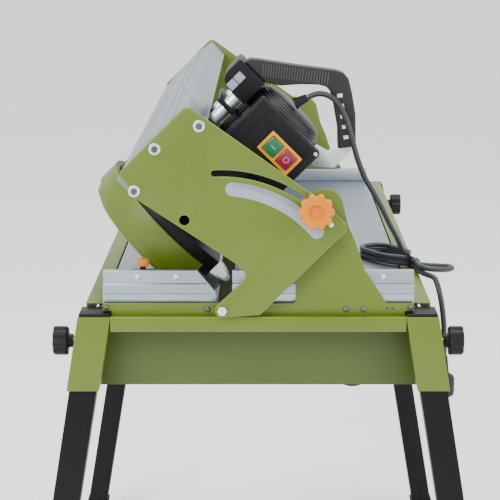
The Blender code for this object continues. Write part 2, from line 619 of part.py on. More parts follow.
def cord():
    """The cord's plain solids and its plug."""
    cord_tube("cord", UPPER_ROUTE)
    cord_tube("cord_tail", TAIL_ROUTE)
    half = HANK_LENGTH / 2 - HANK_WIDTH / 2
    outline = arc((half, 0), HANK_WIDTH / 2, -pi / 2, pi / 2, 8) + arc((-half, 0), HANK_WIDTH / 2, pi / 2, pi * 1.5, 8)
    hank = prism("cord_hank", outline, 0, HANK_HEIGHT, "rubber", axis="Z")
    hank.location = HANK_CENTRE
    hank.rotation_euler = (0, 0, HANK_HEADING)
    top = TAIL_ROUTE[-1][2] - GAP
    centre = (TAIL_ROUTE[-1][0], TAIL_ROUTE[-1][1], 0)
    profile = [(top, 0), (top, 0.0062), (top - 0.030, 0.0090), (top - 0.031, 0.0125), (top - 0.046, 0.0185),
               (top - 0.066, 0.0185), (top - 0.066, 0)]
    plug = turned("plug", profile, "black", axis="Z", centre=centre, segments=20)
    for index, shift in enumerate((-0.0095, 0.0095)):
        pin_centre = (centre[0] + shift, centre[1], 0)
        pin = rod(f"plug_pin_{index}", top - 0.085, top - 0.060, 0.0024, axis="Z", centre=pin_centre, segments=10)
        combine(plug, pin, "UNION")


def build():
    """Clear the scene and make every node."""
    for old in list(bpy.data.objects):
        bpy.data.objects.remove(old, do_unlink=True)
    head = empty("tilt_axis", (PIVOT_X, 0, TABLE_TOP), (0, -BEVEL, 0))
    carriage = empty("carriage_place", (0, CARRIAGE_Y, 0), parent=head)
    base_frame()
    water_tub()
    leg_set()
    end_plates()
    tilt_fasteners()
    table_plates()
    fences()
    angle_stop()
    tilt_brackets(head)
    guide_rail(head)
    hanger(carriage)
    support_rods(carriage)
    motor(carriage)
    blade_set(carriage)
    guards(carriage)
    switch_box(carriage)
    handle(carriage)
    cord()


build()
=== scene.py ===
"""Finished look of a rail tile cutter with its motor head at 45 degrees.

Powder-coated frame, aluminium rail and table.

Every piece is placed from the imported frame. The head is drawn upright in its own axes (across, along, up)
and turned onto the tilt axis, so its sizes read as they do on a drawing.
"""
import json
import logging
from dataclasses import dataclass, field
from enum import Enum
from math import asin, ceil, cos, pi, radians, sin

import bmesh
import bpy
from mathutils import Matrix, Vector

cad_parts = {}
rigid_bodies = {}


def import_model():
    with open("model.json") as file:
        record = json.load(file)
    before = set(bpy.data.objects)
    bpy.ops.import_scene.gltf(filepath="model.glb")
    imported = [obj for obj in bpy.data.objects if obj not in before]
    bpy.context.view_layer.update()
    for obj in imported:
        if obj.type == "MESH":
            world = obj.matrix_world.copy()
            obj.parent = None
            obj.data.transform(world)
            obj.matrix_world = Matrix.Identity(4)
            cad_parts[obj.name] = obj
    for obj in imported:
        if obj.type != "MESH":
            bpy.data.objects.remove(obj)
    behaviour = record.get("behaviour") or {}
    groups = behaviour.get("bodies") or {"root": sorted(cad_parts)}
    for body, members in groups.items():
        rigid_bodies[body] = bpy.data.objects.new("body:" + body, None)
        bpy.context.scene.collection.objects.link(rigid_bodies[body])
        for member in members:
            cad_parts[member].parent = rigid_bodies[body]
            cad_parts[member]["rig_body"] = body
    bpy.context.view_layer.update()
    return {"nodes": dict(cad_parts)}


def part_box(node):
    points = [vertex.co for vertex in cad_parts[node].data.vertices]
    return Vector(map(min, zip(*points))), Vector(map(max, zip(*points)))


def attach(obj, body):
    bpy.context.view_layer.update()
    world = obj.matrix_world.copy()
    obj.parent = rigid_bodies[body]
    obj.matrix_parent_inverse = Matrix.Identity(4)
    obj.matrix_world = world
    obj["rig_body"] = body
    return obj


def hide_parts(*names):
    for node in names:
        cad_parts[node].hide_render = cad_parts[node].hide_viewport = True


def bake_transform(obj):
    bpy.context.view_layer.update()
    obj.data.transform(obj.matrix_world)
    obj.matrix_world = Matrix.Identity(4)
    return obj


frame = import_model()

LOG = logging.getLogger("tile_cutter")

Outline = list[tuple[float, float]]
Colour = tuple[float, float, float]

TABLE_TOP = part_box("table_left")[1][2]
TILT_AXIS_X = -0.0549
TILT = radians(45)
CARRIAGE_Y = (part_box("blade")[0][1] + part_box("blade")[1][1]) / 2
SPINDLE_UP = 0.116
HEAD = Matrix.Translation((TILT_AXIS_X, 0, TABLE_TOP)) @ Matrix.Rotation(-TILT, 4, "Y")
CARRIAGE = HEAD @ Matrix.Translation((0, CARRIAGE_Y, 0))
STAND = Matrix.Identity(4)


class Axis(Enum):
    """The direction in which a shape is drawn out or turned."""

    ACROSS = 0
    ALONG = 1
    UP = 2


class Head(Enum):
    """The kinds of fastener head."""

    HEX = "hex head with its thread end"
    WASHER = "plain washer"
    CROSS = "pan head with a cross recess"
    DOME = "dome nut"


# Finishes


def socket(group: bpy.types.NodeTree, name: str, kind: str, way: str = "INPUT",
           value: object = None) -> None:
    """Add one named socket to a node group.

    Args:
        group: The node group.
        name: The socket's name.
        kind: Its type, such as NodeSocketFloat.
        way: INPUT or OUTPUT.
        value: Its default, if it has one.
    """
    made = group.interface.new_socket(name, in_out=way, socket_type=kind)
    if value is not None:
        made.default_value = value


def grain_group() -> bpy.types.NodeTree:
    """The shared surface: fine grain and broad clouding that vary colour, roughness and height.

    Returns:
        The shader node group.
    """
    found = bpy.data.node_groups.get("surface_grain")
    if found:
        return found
    group = bpy.data.node_groups.new("surface_grain", "ShaderNodeTree")
    socket(group, "Colour", "NodeSocketColor", value=(0.5, 0.5, 0.5, 1))
    socket(group, "Shade", "NodeSocketColor", value=(0.4, 0.4, 0.4, 1))
    socket(group, "Fine Scale", "NodeSocketFloat", value=600.0)
    socket(group, "Broad Scale", "NodeSocketFloat", value=9.0)
    socket(group, "Stretch", "NodeSocketVector", value=(1, 1, 1))
    socket(group, "Grain", "NodeSocketFloat", value=0.3)
    socket(group, "Rough Low", "NodeSocketFloat", value=0.35)
    socket(group, "Rough High", "NodeSocketFloat", value=0.5)
    socket(group, "Colour", "NodeSocketColor", "OUTPUT")
    socket(group, "Roughness", "NodeSocketFloat", "OUTPUT")
    socket(group, "Height", "NodeSocketFloat", "OUTPUT")
    nodes, links = group.nodes, group.links
    given, put = nodes.new("NodeGroupInput"), nodes.new("NodeGroupOutput")
    place = nodes.new("ShaderNodeTexCoord")
    stretched = nodes.new("ShaderNodeVectorMath")
    stretched.operation = "MULTIPLY"
    links.new(place.outputs["Object"], stretched.inputs[0])
    links.new(given.outputs["Stretch"], stretched.inputs[1])
    fine = nodes.new("ShaderNodeTexNoise")
    fine.inputs["Detail"].default_value = 3.0
    links.new(stretched.outputs[0], fine.inputs["Vector"])
    links.new(given.outputs["Fine Scale"], fine.inputs["Scale"])
    broad = nodes.new("ShaderNodeTexNoise")
    broad.inputs["Detail"].default_value = 4.0
    links.new(place.outputs["Object"], broad.inputs["Vector"])
    links.new(given.outputs["Broad Scale"], broad.inputs["Scale"])
    blend = nodes.new("ShaderNodeMix")
    blend.data_type = "FLOAT"
    links.new(given.outputs["Grain"], blend.inputs[0])
    links.new(broad.outputs["Fac"], blend.inputs[2])
    links.new(fine.outputs["Fac"], blend.inputs[3])
    spread = nodes.new("ShaderNodeMapRange")
    spread.inputs["From Min"].default_value = 0.30
    spread.inputs["From Max"].default_value = 0.70
    links.new(blend.outputs[0], spread.inputs["Value"])
    tint = nodes.new("ShaderNodeMix")
    tint.data_type = "RGBA"
    links.new(spread.outputs[0], tint.inputs[0])
    links.new(given.outputs["Colour"], tint.inputs[6])
    links.new(given.outputs["Shade"], tint.inputs[7])
    rough = nodes.new("ShaderNodeMapRange")
    rough.inputs["From Min"].default_value = 0.25
    rough.inputs["From Max"].default_value = 0.75
    links.new(blend.outputs[0], rough.inputs["Value"])
    links.new(given.outputs["Rough Low"], rough.inputs["To Min"])
    links.new(given.outputs["Rough High"], rough.inputs["To Max"])
    links.new(tint.outputs[2], put.inputs["Colour"])
    links.new(rough.outputs[0], put.inputs["Roughness"])
    links.new(fine.outputs["Fac"], put.inputs["Height"])
    return group


@dataclass(frozen=True)
class Finish:
    """One surface finish and how it is made."""

    name: str
    slot: str
    colour: Colour
    shade: Colour
    rough: tuple[float, float]
    metallic: float = 0.0
    fine: float = 700.0
    broad: float = 8.0
    stretch: Colour = (1.0, 1.0, 1.0)
    grain: float = 0.35
    relief: float = 0.15
    depth: float = 0.0004
    coat: float = 0.0
    gloss: float = 0.5

    def material(self) -> bpy.types.Material:
        """Build the finish once and return its material.

        Returns:
            The material, shared by every piece with this finish.
        """
        found = bpy.data.materials.get(self.name)
        if found:
            return found
        made = bpy.data.materials.new(self.name)
        made.use_nodes = True
        nodes, links = made.node_tree.nodes, made.node_tree.links
        shader = nodes["Principled BSDF"]
        grain = nodes.new("ShaderNodeGroup")
        grain.node_tree = grain_group()
        values = {"Fine Scale": self.fine, "Broad Scale": self.broad, "Stretch": self.stretch,
                  "Grain": self.grain,
                  "Rough Low": self.rough[0], "Rough High": self.rough[1]}
        for name, value in values.items():
            grain.inputs[name].default_value = value
        grain.inputs["Colour"].default_value = (*self.colour, 1)
        grain.inputs["Shade"].default_value = (*self.shade, 1)
        bump = nodes.new("ShaderNodeBump")
        bump.inputs["Strength"].default_value = self.relief
        bump.inputs["Distance"].default_value = self.depth
        links.new(grain.outputs["Colour"], shader.inputs["Base Color"])
        links.new(grain.outputs["Roughness"], shader.inputs["Roughness"])
        links.new(grain.outputs["Height"], bump.inputs["Height"])
        links.new(bump.outputs["Normal"], shader.inputs["Normal"])
        shader.inputs["Metallic"].default_value = self.metallic
        shader.inputs["Coat Weight"].default_value = self.coat
        shader.inputs["Specular IOR Level"].default_value = self.gloss
        return made


def darker(colour: Colour, part: float) -> Colour:
    """A colour made darker by a part of itself.

    Args:
        colour: The colour, linear.
        part: How much of it is taken away, 0 to 1.

    Returns:
        The darker colour.
    """
    return tuple(value * (1 - part) for value in colour)


GREEN = (0.092, 0.142, 0.004)
POWDER_GREEN = Finish("powder_green", "green_paint", GREEN, darker(GREEN, 0.12), (0.36, 0.46), fine=900,
                      relief=0.18)
# Lighter, glossier green for the bevel faces of the green sheet parts: a painted highlight along their
# rounded edges.
EDGE_HIGHLIGHT_GREEN = Finish("powder_green_edge", "green_paint", (0.20, 0.29, 0.03), GREEN, (0.30, 0.42), fine=900,
                    relief=0.1)
# Darker copy of the frame's green for the water tub: painted shade of the tub recessed under the frame.
SHADED_TUB_GREEN = Finish("tub_green", "tub_paint", (0.052, 0.082, 0.004), (0.043, 0.069, 0.003), (0.45, 0.6),
                   fine=700)
LEG_BLACK = Finish("leg_black", "leg_paint", (0.003, 0.003, 0.0035), (0.005, 0.005, 0.0055), (0.40, 0.52),
                   fine=1100, relief=0.2, gloss=0.16)
BLACK = Finish("moulded_black", "black_plastic", (0.004, 0.004, 0.005), (0.007, 0.007, 0.009), (0.40, 0.54),
               fine=1500, relief=0.25, gloss=0.2)
GRIP_BLACK = Finish("grip_black", "black_plastic", (0.010, 0.009, 0.010), (0.016, 0.015, 0.016),
                    (0.46, 0.60), fine=1300, relief=0.3, gloss=0.35)
# Same plastic as the grip, made lighter: a painted highlight on the grip ribs and the motor's bell rings.
RIB_HIGHLIGHT = Finish("grip_rib", "black_plastic", (0.050, 0.048, 0.050), (0.036, 0.034, 0.036), (0.40, 0.52),
                  fine=1300, relief=0.2)
GREY = Finish("moulded_grey", "grey_plastic", (0.014, 0.015, 0.019), (0.020, 0.022, 0.027), (0.38, 0.50),
              fine=1300, relief=0.2, gloss=0.4)
# One brushed aluminium in two copies besides the brushing direction: the table and rail copy is made darker
# as painted shade.
SHADED_BRUSHED_Y = Finish("brushed_along", "aluminium", (0.33, 0.385, 0.43), (0.17, 0.205, 0.24), (0.26, 0.42), 1.0,
                   700, 6.0, (1.0, 0.02, 1.0), 0.6, 0.12, 0.0002)
BRUSHED_X = Finish("brushed_across", "aluminium", (0.46, 0.52, 0.57), (0.31, 0.36, 0.41), (0.28, 0.42), 1.0,
                   700, 6.0, (0.02, 1.0, 1.0), 0.55, 0.10, 0.0002)
ZINC = Finish("zinc_plate", "zinc_plate", (0.34, 0.46, 0.49), (0.17, 0.27, 0.30), (0.16, 0.32), 1.0, 300,
              70.0, grain=0.4, relief=0.08)
# Dark steel for screws and hex heads, also used as the painted shade in the near fence's groove.
DARK_STEEL_AND_GROOVE_SHADE = Finish("dark_steel", "zinc_plate", (0.085, 0.090, 0.10), (0.16, 0.17, 0.18), (0.25, 0.4), 1.0,
                    300, 90.0, grain=0.4, relief=0.08)
STEEL = Finish("blade_steel", "blade_steel", (0.42, 0.44, 0.46), (0.28, 0.30, 0.32), (0.22, 0.36), 1.0, 900,
               20.0, grain=0.5, relief=0.06)
GRIT = Finish("diamond_rim", "blade_steel", (0.26, 0.26, 0.25), (0.15, 0.15, 0.14), (0.5, 0.7), 0.7, 1800,
              60.0, grain=0.8, relief=0.6)
ORANGE = Finish("moulded_orange", "orange_plastic", (0.62, 0.180, 0.0005), (0.52, 0.145, 0.0005),
                (0.38, 0.48), gloss=0.3)
YELLOW = Finish("moulded_yellow", "bezel_plastic", (0.70, 0.33, 0.010), (0.62, 0.28, 0.008), (0.38, 0.48),
                gloss=0.3)
GO_GREEN = Finish("button_green_shell", "green_button", (0.008, 0.150, 0.060), (0.006, 0.120, 0.045),
                  (0.25, 0.34), coat=0.3)
STOP_RED = Finish("button_red_shell", "red_button", (0.260, 0.004, 0.036), (0.210, 0.003, 0.028),
                  (0.25, 0.34), coat=0.3)
MARK = Finish("light_marks", "bezel_plastic", (0.30, 0.27, 0.27), (0.26, 0.24, 0.24), (0.45, 0.55))
LABEL = Finish("printed_label", "grey_plastic", (0.27, 0.295, 0.37), (0.235, 0.26, 0.335), (0.35, 0.45),
               fine=200)
# Dark print for the bevel scale's ticks, also used as the painted shade in two small holes of the near end
# plate.
INK_AND_HOLE_SHADE = Finish("label_ink", "black_plastic", (0.035, 0.035, 0.06), (0.030, 0.030, 0.05), (0.5, 0.6), gloss=0.3)
RUBBER = Finish("foot_rubber", "rubber", (0.010, 0.010, 0.010), (0.018, 0.018, 0.018), (0.7, 0.85), fine=900,
                relief=0.35, gloss=0.3)
SHEATH = Finish("lead_sheath", "cord_rubber", (0.018, 0.020, 0.025), (0.028, 0.031, 0.037), (0.36, 0.48),
                fine=900, relief=0.15, gloss=0.4)
PLUG_BLACK = Finish("plug_black", "black_plastic", (0.009, 0.009, 0.010), (0.015, 0.015, 0.017), (0.5, 0.62),
                    fine=1200, relief=0.25, gloss=0.3)
FLOOR = Finish("studio_floor", "rubber", (0.94, 0.94, 0.94), (0.93, 0.93, 0.93), (0.8, 0.9), fine=40,
               relief=0.0)


# Shapes


def along_axis(axis: Axis, depth: float, first: float, second: float) -> Vector:
    """A point from its distance along one axis and its other two coordinates in order.

    Args:
        axis: The axis that the distance is along.
        depth: The distance along it.
        first: The first of the other two coordinates.
        second: The second of them.

    Returns:
        The point.
    """
    values = [first, second]
    values.insert(axis.value, depth)
    return Vector(values)


def arc(centre: tuple[float, float], radius: float, start: float, end: float, steps: int) -> Outline:
    """Points along an arc, both ends included.

    Args:
        centre: Its centre.
        radius: Its radius.
        start: Its first angle, in radians.
        end: Its last angle, in radians.
        steps: How many straight steps it has.

    Returns:
        The points, in order.
    """
    turns = [start + (end - start) * step / steps for step in range(steps + 1)]
    return [(centre[0] + radius * cos(turn), centre[1] + radius * sin(turn)) for turn in turns]


def rounded_box(low: tuple[float, float], high: tuple[float, float], radius: float,
                steps: int = 5) -> Outline:
    """The outline of a rectangle with round corners.

    Args:
        low: Its lowest corner.
        high: Its highest corner.
        radius: The radius of its corners.
        steps: Steps round each corner.

    Returns:
        The outline, counter-clockwise.
    """
    corners = ((high[0] - radius, low[1] + radius, -90), (high[0] - radius, high[1] - radius, 0),
               (low[0] + radius, high[1] - radius, 90), (low[0] + radius, low[1] + radius, 180))
    points: Outline = []
    for across, up, turn in corners:
        points += arc((across, up), radius, radians(turn), radians(turn + 90), steps)
    return points


def loft(levels: list[list[Vector]], closed_ends: bool = True) -> bmesh.types.BMesh:
    """Join rings of the same number of points, end to end.

    Args:
        levels: The rings, in order.
        closed_ends: Whether the first and last rings are filled.

    Returns:
        The mesh.
    """
    shape = bmesh.new()
    rings = [[shape.verts.new(point) for point in level] for level in levels]
    for low, high in zip(rings, rings[1:]):
        for index in range(len(low)):
            after = (index + 1) % len(low)
            shape.faces.new((low[index], low[after], high[after], high[index]))
    if closed_ends:
        shape.faces.new(list(reversed(rings[0])))
        shape.faces.new(rings[-1])
    bmesh.ops.recalc_face_normals(shape, faces=shape.faces)
    return shape


def prism(outline: Outline, low: float, high: float, axis: Axis = Axis.ALONG) -> bmesh.types.BMesh:
    """A flat outline drawn out along an axis.

    Args:
        outline: The outline, in the other two axes.
        low: Where it starts along the axis.
        high: Where it ends.
        axis: The axis.

    Returns:
        The mesh.
    """
    return loft([[along_axis(axis, depth, *point) for point in outline] for depth in (low, high)])


def turned(profile: Outline, axis: Axis, centre: Vector, segments: int = 48) -> bmesh.types.BMesh:
    """A solid of revolution from (distance along the axis, radius) points, closed at both ends.

    Args:
        profile: The points, from one end to the other, with a radius above zero.
        axis: The axis of revolution.
        centre: A point that the profile is measured from.
        segments: Steps round the axis.

    Returns:
        The mesh.
    """
    turns = [2 * pi * index / segments for index in range(segments)]
    return loft([[centre + along_axis(axis, depth, radius * cos(turn), radius * sin(turn)) for turn in turns]
                 for depth, radius in profile])


def block(low: tuple[float, float, float], high: tuple[float, float, float]) -> bmesh.types.BMesh:
    """A box between two corners.

    Args:
        low: Its lowest corner.
        high: Its highest corner.

    Returns:
        The mesh.
    """
    return prism([(low[0], low[2]), (high[0], low[2]), (high[0], high[2]), (low[0], high[2])], low[1],
                 high[1])


def merged(shapes: list[bmesh.types.BMesh]) -> bmesh.types.BMesh:
    """Several shapes put into one mesh.

    Args:
        shapes: The meshes, which are freed.

    Returns:
        The one mesh.
    """
    whole = bmesh.new()
    for shape in shapes:
        mesh = bpy.data.meshes.new("part")
        shape.to_mesh(mesh)
        shape.free()
        whole.from_mesh(mesh)
        bpy.data.meshes.remove(mesh)
    return whole


def frozen(made: bpy.types.Object) -> bpy.types.Object:
    """Turn an object's modifiers into plain mesh.

    Args:
        made: The object, with its modifiers.

    Returns:
        The same object, with the result as its mesh and no modifiers.
    """
    bpy.context.view_layer.update()
    graph = bpy.context.evaluated_depsgraph_get()
    mesh = bpy.data.meshes.new_from_object(made.evaluated_get(graph))
    made.modifiers.clear()
    made.data = mesh
    return made


def smooth(made: bpy.types.Object, angle: float = 32.0) -> None:
    """Shade an object smooth, with edges sharper than the angle kept.

    Args:
        made: The object.
        angle: The smallest angle that stays sharp, in degrees.
    """
    made.data.shade_smooth()
    made.data.set_sharp_from_angle(angle=radians(angle))


@dataclass
class Bench:
    """Puts finished pieces onto the frame's bodies."""

    count: int = 0

    def piece(self, name: str, shape: bmesh.types.BMesh, finish: Finish, body: str, place: Matrix = STAND,
              bevel: float = 0.0, segments: int = 2, replaces: tuple[str, ...] = (),
              edge: Finish | None = None,
              angle: float = 32.0, cut: list[bmesh.types.BMesh] | None = None) -> bpy.types.Object:
        """Make one piece.

        Args:
            name: The piece's name.
            shape: Its mesh, in its own axes.
            finish: Its finish.
            body: The body that it rides on.
            place: Its axes in the frame.
            bevel: The width of its rounded edges.
            segments: Steps across each rounded edge.
            replaces: The CAD nodes that it stands for.
            edge: The finish of its rounded edges, where it differs; for the green parts a lighter green, a
                painted highlight.
            angle: The smallest edge angle that is rounded and kept sharp in shading.
            cut: Shapes that are cut from it.

        Returns:
            The piece.
        """
        made = self.raw(name, shape, place)
        made.data.materials.append(finish.material())
        if edge:
            made.data.materials.append(edge.material())
        cutters = [self.raw(f"{name}_cutter_{index}", tool, place) for index, tool in enumerate(cut or [])]
        for tool in cutters:
            step = made.modifiers.new(tool.name, "BOOLEAN")
            step.solver = "EXACT"
            step.object = tool
        if cutters:
            frozen(made)
            for tool in cutters:
                bpy.data.objects.remove(tool, do_unlink=True)
        if bevel > 0:
            self.round_edges(made, bevel, segments, angle, edge is not None)
        smooth(made, angle)
        self.place(made, finish, body, replaces)
        return made

    def refined(self, node: str, finish: Finish, bevel: float = 0.0006, segments: int = 2,
                edge: Finish | None = None, angle: float = 32.0) -> bpy.types.Object:
        """A CAD node's own shape with its flat faces joined and its edges rounded.

        Args:
            node: The CAD node.
            finish: Its finish.
            bevel: The width of the rounded edges.
            segments: Steps across each rounded edge.
            edge: The finish of the rounded edges, where it differs; for the green parts a lighter green, a
                painted highlight.
            angle: The smallest edge angle that is rounded.

        Returns:
            The piece, which stands for the node.
        """
        shape = bmesh.new()
        shape.from_mesh(frame["nodes"][node].data)
        bmesh.ops.remove_doubles(shape, verts=shape.verts, dist=0.00002)
        bmesh.ops.dissolve_limit(shape, angle_limit=radians(0.6), verts=shape.verts, edges=shape.edges)
        body = frame["nodes"][node]["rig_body"]
        return self.piece(f"{node}_finished", shape, finish, body, bevel=bevel, segments=segments,
                          replaces=(node,), edge=edge, angle=angle)

    def raw(self, name: str, shape: bmesh.types.BMesh, place: Matrix) -> bpy.types.Object:
        """An object with the mesh moved to its place, and the object left at the origin.

        Args:
            name: The object's name.
            shape: Its mesh, which is freed.
            place: Its axes in the frame.

        Returns:
            The object.
        """
        shape.transform(place)
        mesh = bpy.data.meshes.new(name)
        shape.to_mesh(mesh)
        shape.free()
        made = bpy.data.objects.new(name, mesh)
        bpy.context.scene.collection.objects.link(made)
        return made

    def round_edges(self, made: bpy.types.Object, width: float, segments: int, angle: float,
                    own_finish: bool) -> None:
        """Round an object's sharp edges.

        Args:
            made: The object.
            width: The width of the rounding.
            segments: Steps across it.
            angle: The smallest edge angle that is rounded, in degrees.
            own_finish: Whether the rounding takes the second finish, the painted highlight of the edges.
        """
        step = made.modifiers.new("rounded", "BEVEL")
        step.width = width
        step.segments = segments
        step.limit_method = "ANGLE"
        step.angle_limit = radians(angle)
        step.use_clamp_overlap = True
        step.material = 1 if own_finish else -1
        frozen(made)

    def place(self, made: bpy.types.Object, finish: Finish, body: str, replaces: tuple[str, ...]) -> None:
        """Hang a piece on its body.

        Args:
            made: The piece.
            finish: Its finish; not used.
            body: The body that it rides on.
            replaces: The CAD nodes that it stands for.
        """
        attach(made, body)
        if replaces:
            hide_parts(*replaces)
        self.count += 1
        LOG.info("%s rides on %s", made.name, body)


BENCH = Bench()


# Repeated pieces, by Geometry Nodes


def repeat_tree() -> bpy.types.NodeTree:
    """A tree that sets one shape on every point, turned to the point's aim.

    Returns:
        The Geometry Nodes tree, with inputs Shape, Scale and Finish.
    """
    found = bpy.data.node_groups.get("set_on_points")
    if found:
        return found
    tree = bpy.data.node_groups.new("set_on_points", "GeometryNodeTree")
    socket(tree, "Geometry", "NodeSocketGeometry")
    socket(tree, "Shape", "NodeSocketObject")
    socket(tree, "Scale", "NodeSocketFloat", value=1.0)
    socket(tree, "Finish", "NodeSocketMaterial")
    socket(tree, "Geometry", "NodeSocketGeometry", "OUTPUT")
    nodes, links = tree.nodes, tree.links
    given, put = nodes.new("NodeGroupInput"), nodes.new("NodeGroupOutput")
    shape = nodes.new("GeometryNodeObjectInfo")
    aim = nodes.new("GeometryNodeInputNamedAttribute")
    aim.data_type = "FLOAT_VECTOR"
    aim.inputs["Name"].default_value = "aim"
    side = nodes.new("GeometryNodeInputNamedAttribute")
    side.data_type = "FLOAT_VECTOR"
    side.inputs["Name"].default_value = "side"
    turn = nodes.new("FunctionNodeAxesToRotation")
    turn.primary_axis = "Z"
    turn.secondary_axis = "X"
    put_on = nodes.new("GeometryNodeInstanceOnPoints")
    whole = nodes.new("GeometryNodeRealizeInstances")
    coat = nodes.new("GeometryNodeSetMaterial")
    links.new(given.outputs["Shape"], shape.inputs["Object"])
    links.new(aim.outputs["Attribute"], turn.inputs[0])
    links.new(side.outputs["Attribute"], turn.inputs[1])
    links.new(given.outputs["Geometry"], put_on.inputs["Points"])
    links.new(shape.outputs["Geometry"], put_on.inputs["Instance"])
    links.new(turn.outputs[0], put_on.inputs["Rotation"])
    links.new(given.outputs["Scale"], put_on.inputs["Scale"])
    links.new(put_on.outputs["Instances"], whole.inputs["Geometry"])
    links.new(whole.outputs["Geometry"], coat.inputs["Geometry"])
    links.new(given.outputs["Finish"], coat.inputs["Material"])
    links.new(coat.outputs["Geometry"], put.inputs["Geometry"])
    return tree


@dataclass
class Row:
    """A set of the same small piece, each at a place with an outward aim."""

    name: str
    finish: Finish
    body: str
    place: Matrix = field(default_factory=lambda: STAND)
    scale: float = 1.0
    spots: list[tuple[Vector, Vector, Vector]] = field(default_factory=list)

    def add(self, spot: Vector, aim: Vector, side: Vector = Vector((0, 0, 1))) -> None:
        """Add one piece.

        Args:
            spot: Where its base is.
            aim: The way its own Z points.
            side: The way its own X points.
        """
        self.spots.append((Vector(spot), Vector(aim), Vector(side)))

    def build(self, shape: bmesh.types.BMesh) -> bpy.types.Object:
        """Set the shape on every place.

        Args:
            shape: The piece, its base at the origin and pointing along Z.

        Returns:
            One plain mesh object of all of them.
        """
        turn = self.place.to_3x3()
        mesh = bpy.data.meshes.new(self.name)
        mesh.from_pydata([self.place @ spot for spot, _, _ in self.spots], [], [])
        for word, column in (("aim", 1), ("side", 2)):
            layer = mesh.attributes.new(word, "FLOAT_VECTOR", "POINT")
            for index, spot in enumerate(self.spots):
                layer.data[index].vector = turn @ spot[column]
        made = bpy.data.objects.new(self.name, mesh)
        bpy.context.scene.collection.objects.link(made)
        pattern = BENCH.raw(f"{self.name}_pattern", shape, STAND)
        tree = repeat_tree()
        step = made.modifiers.new("set", "NODES")
        step.node_group = tree
        inputs = {item.name: item.identifier for item in tree.interface.items_tree if item.in_out == "INPUT"}
        step[inputs["Shape"]] = pattern
        step[inputs["Scale"]] = self.scale
        step[inputs["Finish"]] = self.finish.material()
        frozen(made)
        bpy.data.objects.remove(pattern, do_unlink=True)
        smooth(made, 32)
        BENCH.place(made, self.finish, self.body, ())
        return made


def fastener(head: Head, radius: float) -> bmesh.types.BMesh:
    """A fastener head that points along Z.

    Args:
        head: Its kind.
        radius: Its radius over the washer or rim.

    Returns:
        The mesh.
    """
    origin = Vector((0, 0, 0))
    if head is Head.HEX:
        hexagon = turned([(0.0013, radius), (0.0050, radius), (0.0058, radius * 0.88)], Axis.UP, origin, 6)
        stub = turned([(0.0056, radius * 0.5), (0.0074, radius * 0.48), (0.0078, radius * 0.4)], Axis.UP,
                      origin, 16)
        return merged([hexagon, stub])
    if head is Head.WASHER:
        return turned([(0, radius), (0.0014, radius), (0.0018, radius * 0.94)], Axis.UP, origin, 32)
    if head is Head.DOME:
        levels = [(0, radius * 0.9), (0.001, radius)]
        levels += [(0.001 + radius * 0.7 * sin(t), radius * cos(t)) for t in (0.3, 0.6, 0.9, 1.2, 1.45)]
        return turned(levels, Axis.UP, origin, 24)
    crown = [(0, radius * 0.96), (0.0008, radius), (0.0016, radius * 0.94), (0.0023, radius * 0.78)]
    crown.append((0.0026, radius * 0.5))
    parts = [turned(crown, Axis.UP, origin, 24)]
    arm, width, top = radius * 0.55, radius * 0.10, 0.0027
    for across, along in ((arm, width), (width, arm)):
        cross = [(-across, -along), (across, -along), (across, along), (-across, along)]
        parts.append(prism(cross, 0.0022, top, Axis.UP))
    return merged(parts)


def lobed(radius: float, lobes: int, low: float, high: float, dip: float, edge: float, axis: Axis,
          centre: Vector) -> bmesh.types.BMesh:
    """A hand knob with round lobes and rounded rims.

    Args:
        radius: To the tip of a lobe.
        lobes: How many lobes it has.
        low: Its start along the axis.
        high: Its end along the axis.
        dip: How far the hollows lie below the tips.
        edge: The rounding of its rims.
        axis: Its axis.
        centre: A point on its axis.

    Returns:
        The mesh.
    """
    steps = lobes * 12
    span = 1 if high > low else -1
    levels = []
    rims = [(low + span * edge * (1 - cos(t)), edge * (1 - sin(t))) for t in (0, 0.4, 0.8, 1.2, pi / 2)]
    rims += [(high - span * edge * (1 - cos(t)), edge * (1 - sin(t))) for t in (pi / 2, 1.2, 0.8, 0.4, 0)]
    for depth, inset in rims:
        ring = []
        for index in range(steps):
            turn = 2 * pi * index / steps
            reach = radius - dip * (0.5 - 0.5 * cos(turn * lobes)) ** 1.6 - inset
            ring.append(centre + along_axis(axis, depth, reach * cos(turn), reach * sin(turn)))
        levels.append(ring)
    return loft(levels)


def ring_of(centre: tuple[float, float], radius: float, bottom: float, steps: int = 72) -> Outline:
    """A circle cut off level at the bottom.

    Args:
        centre: Its centre.
        radius: Its radius.
        bottom: The height of the level cut.
        steps: How many straight steps it has.

    Returns:
        The outline.
    """
    low = asin((bottom - centre[1]) / radius)
    return arc(centre, radius, low, pi - low, steps)


def smooth_line(points: list[Vector], spacing: float) -> list[Vector]:
    """Points along a smooth curve through the given ones.

    Args:
        points: The points to pass through.
        spacing: About how far apart the result is.

    Returns:
        The finer line, both ends included.
    """
    padded = [points[0] * 2 - points[1], *points, points[-1] * 2 - points[-2]]
    found: list[Vector] = []
    for before, start, end, after in zip(padded, padded[1:], padded[2:], padded[3:]):
        steps = max(1, ceil((end - start).length / spacing))
        for step in range(steps):
            t = step / steps
            found.append(0.5 * (2 * start + (end - before) * t
                                + (2 * before - 5 * start + 4 * end - after) * t * t
                                + (3 * start - before - 3 * end + after) * t ** 3))
    return found + [points[-1]]


def tube(points: list[Vector], radius: float, segments: int = 14) -> bmesh.types.BMesh:
    """A round tube along a line, closed at both ends.

    Args:
        points: The line.
        radius: The tube's radius.
        segments: Steps round it.

    Returns:
        The mesh.
    """
    levels = []
    side = Vector((0, 1, 0))
    for index, point in enumerate(points):
        along = (points[min(index + 1, len(points) - 1)] - points[max(index - 1, 0)]).normalized()
        side = (side - along * side.dot(along)).normalized()
        other = along.cross(side)
        levels.append([point + (side * cos(turn) + other * sin(turn)) * radius
                       for turn in (2 * pi * step / segments for step in range(segments))])
    return loft(levels)


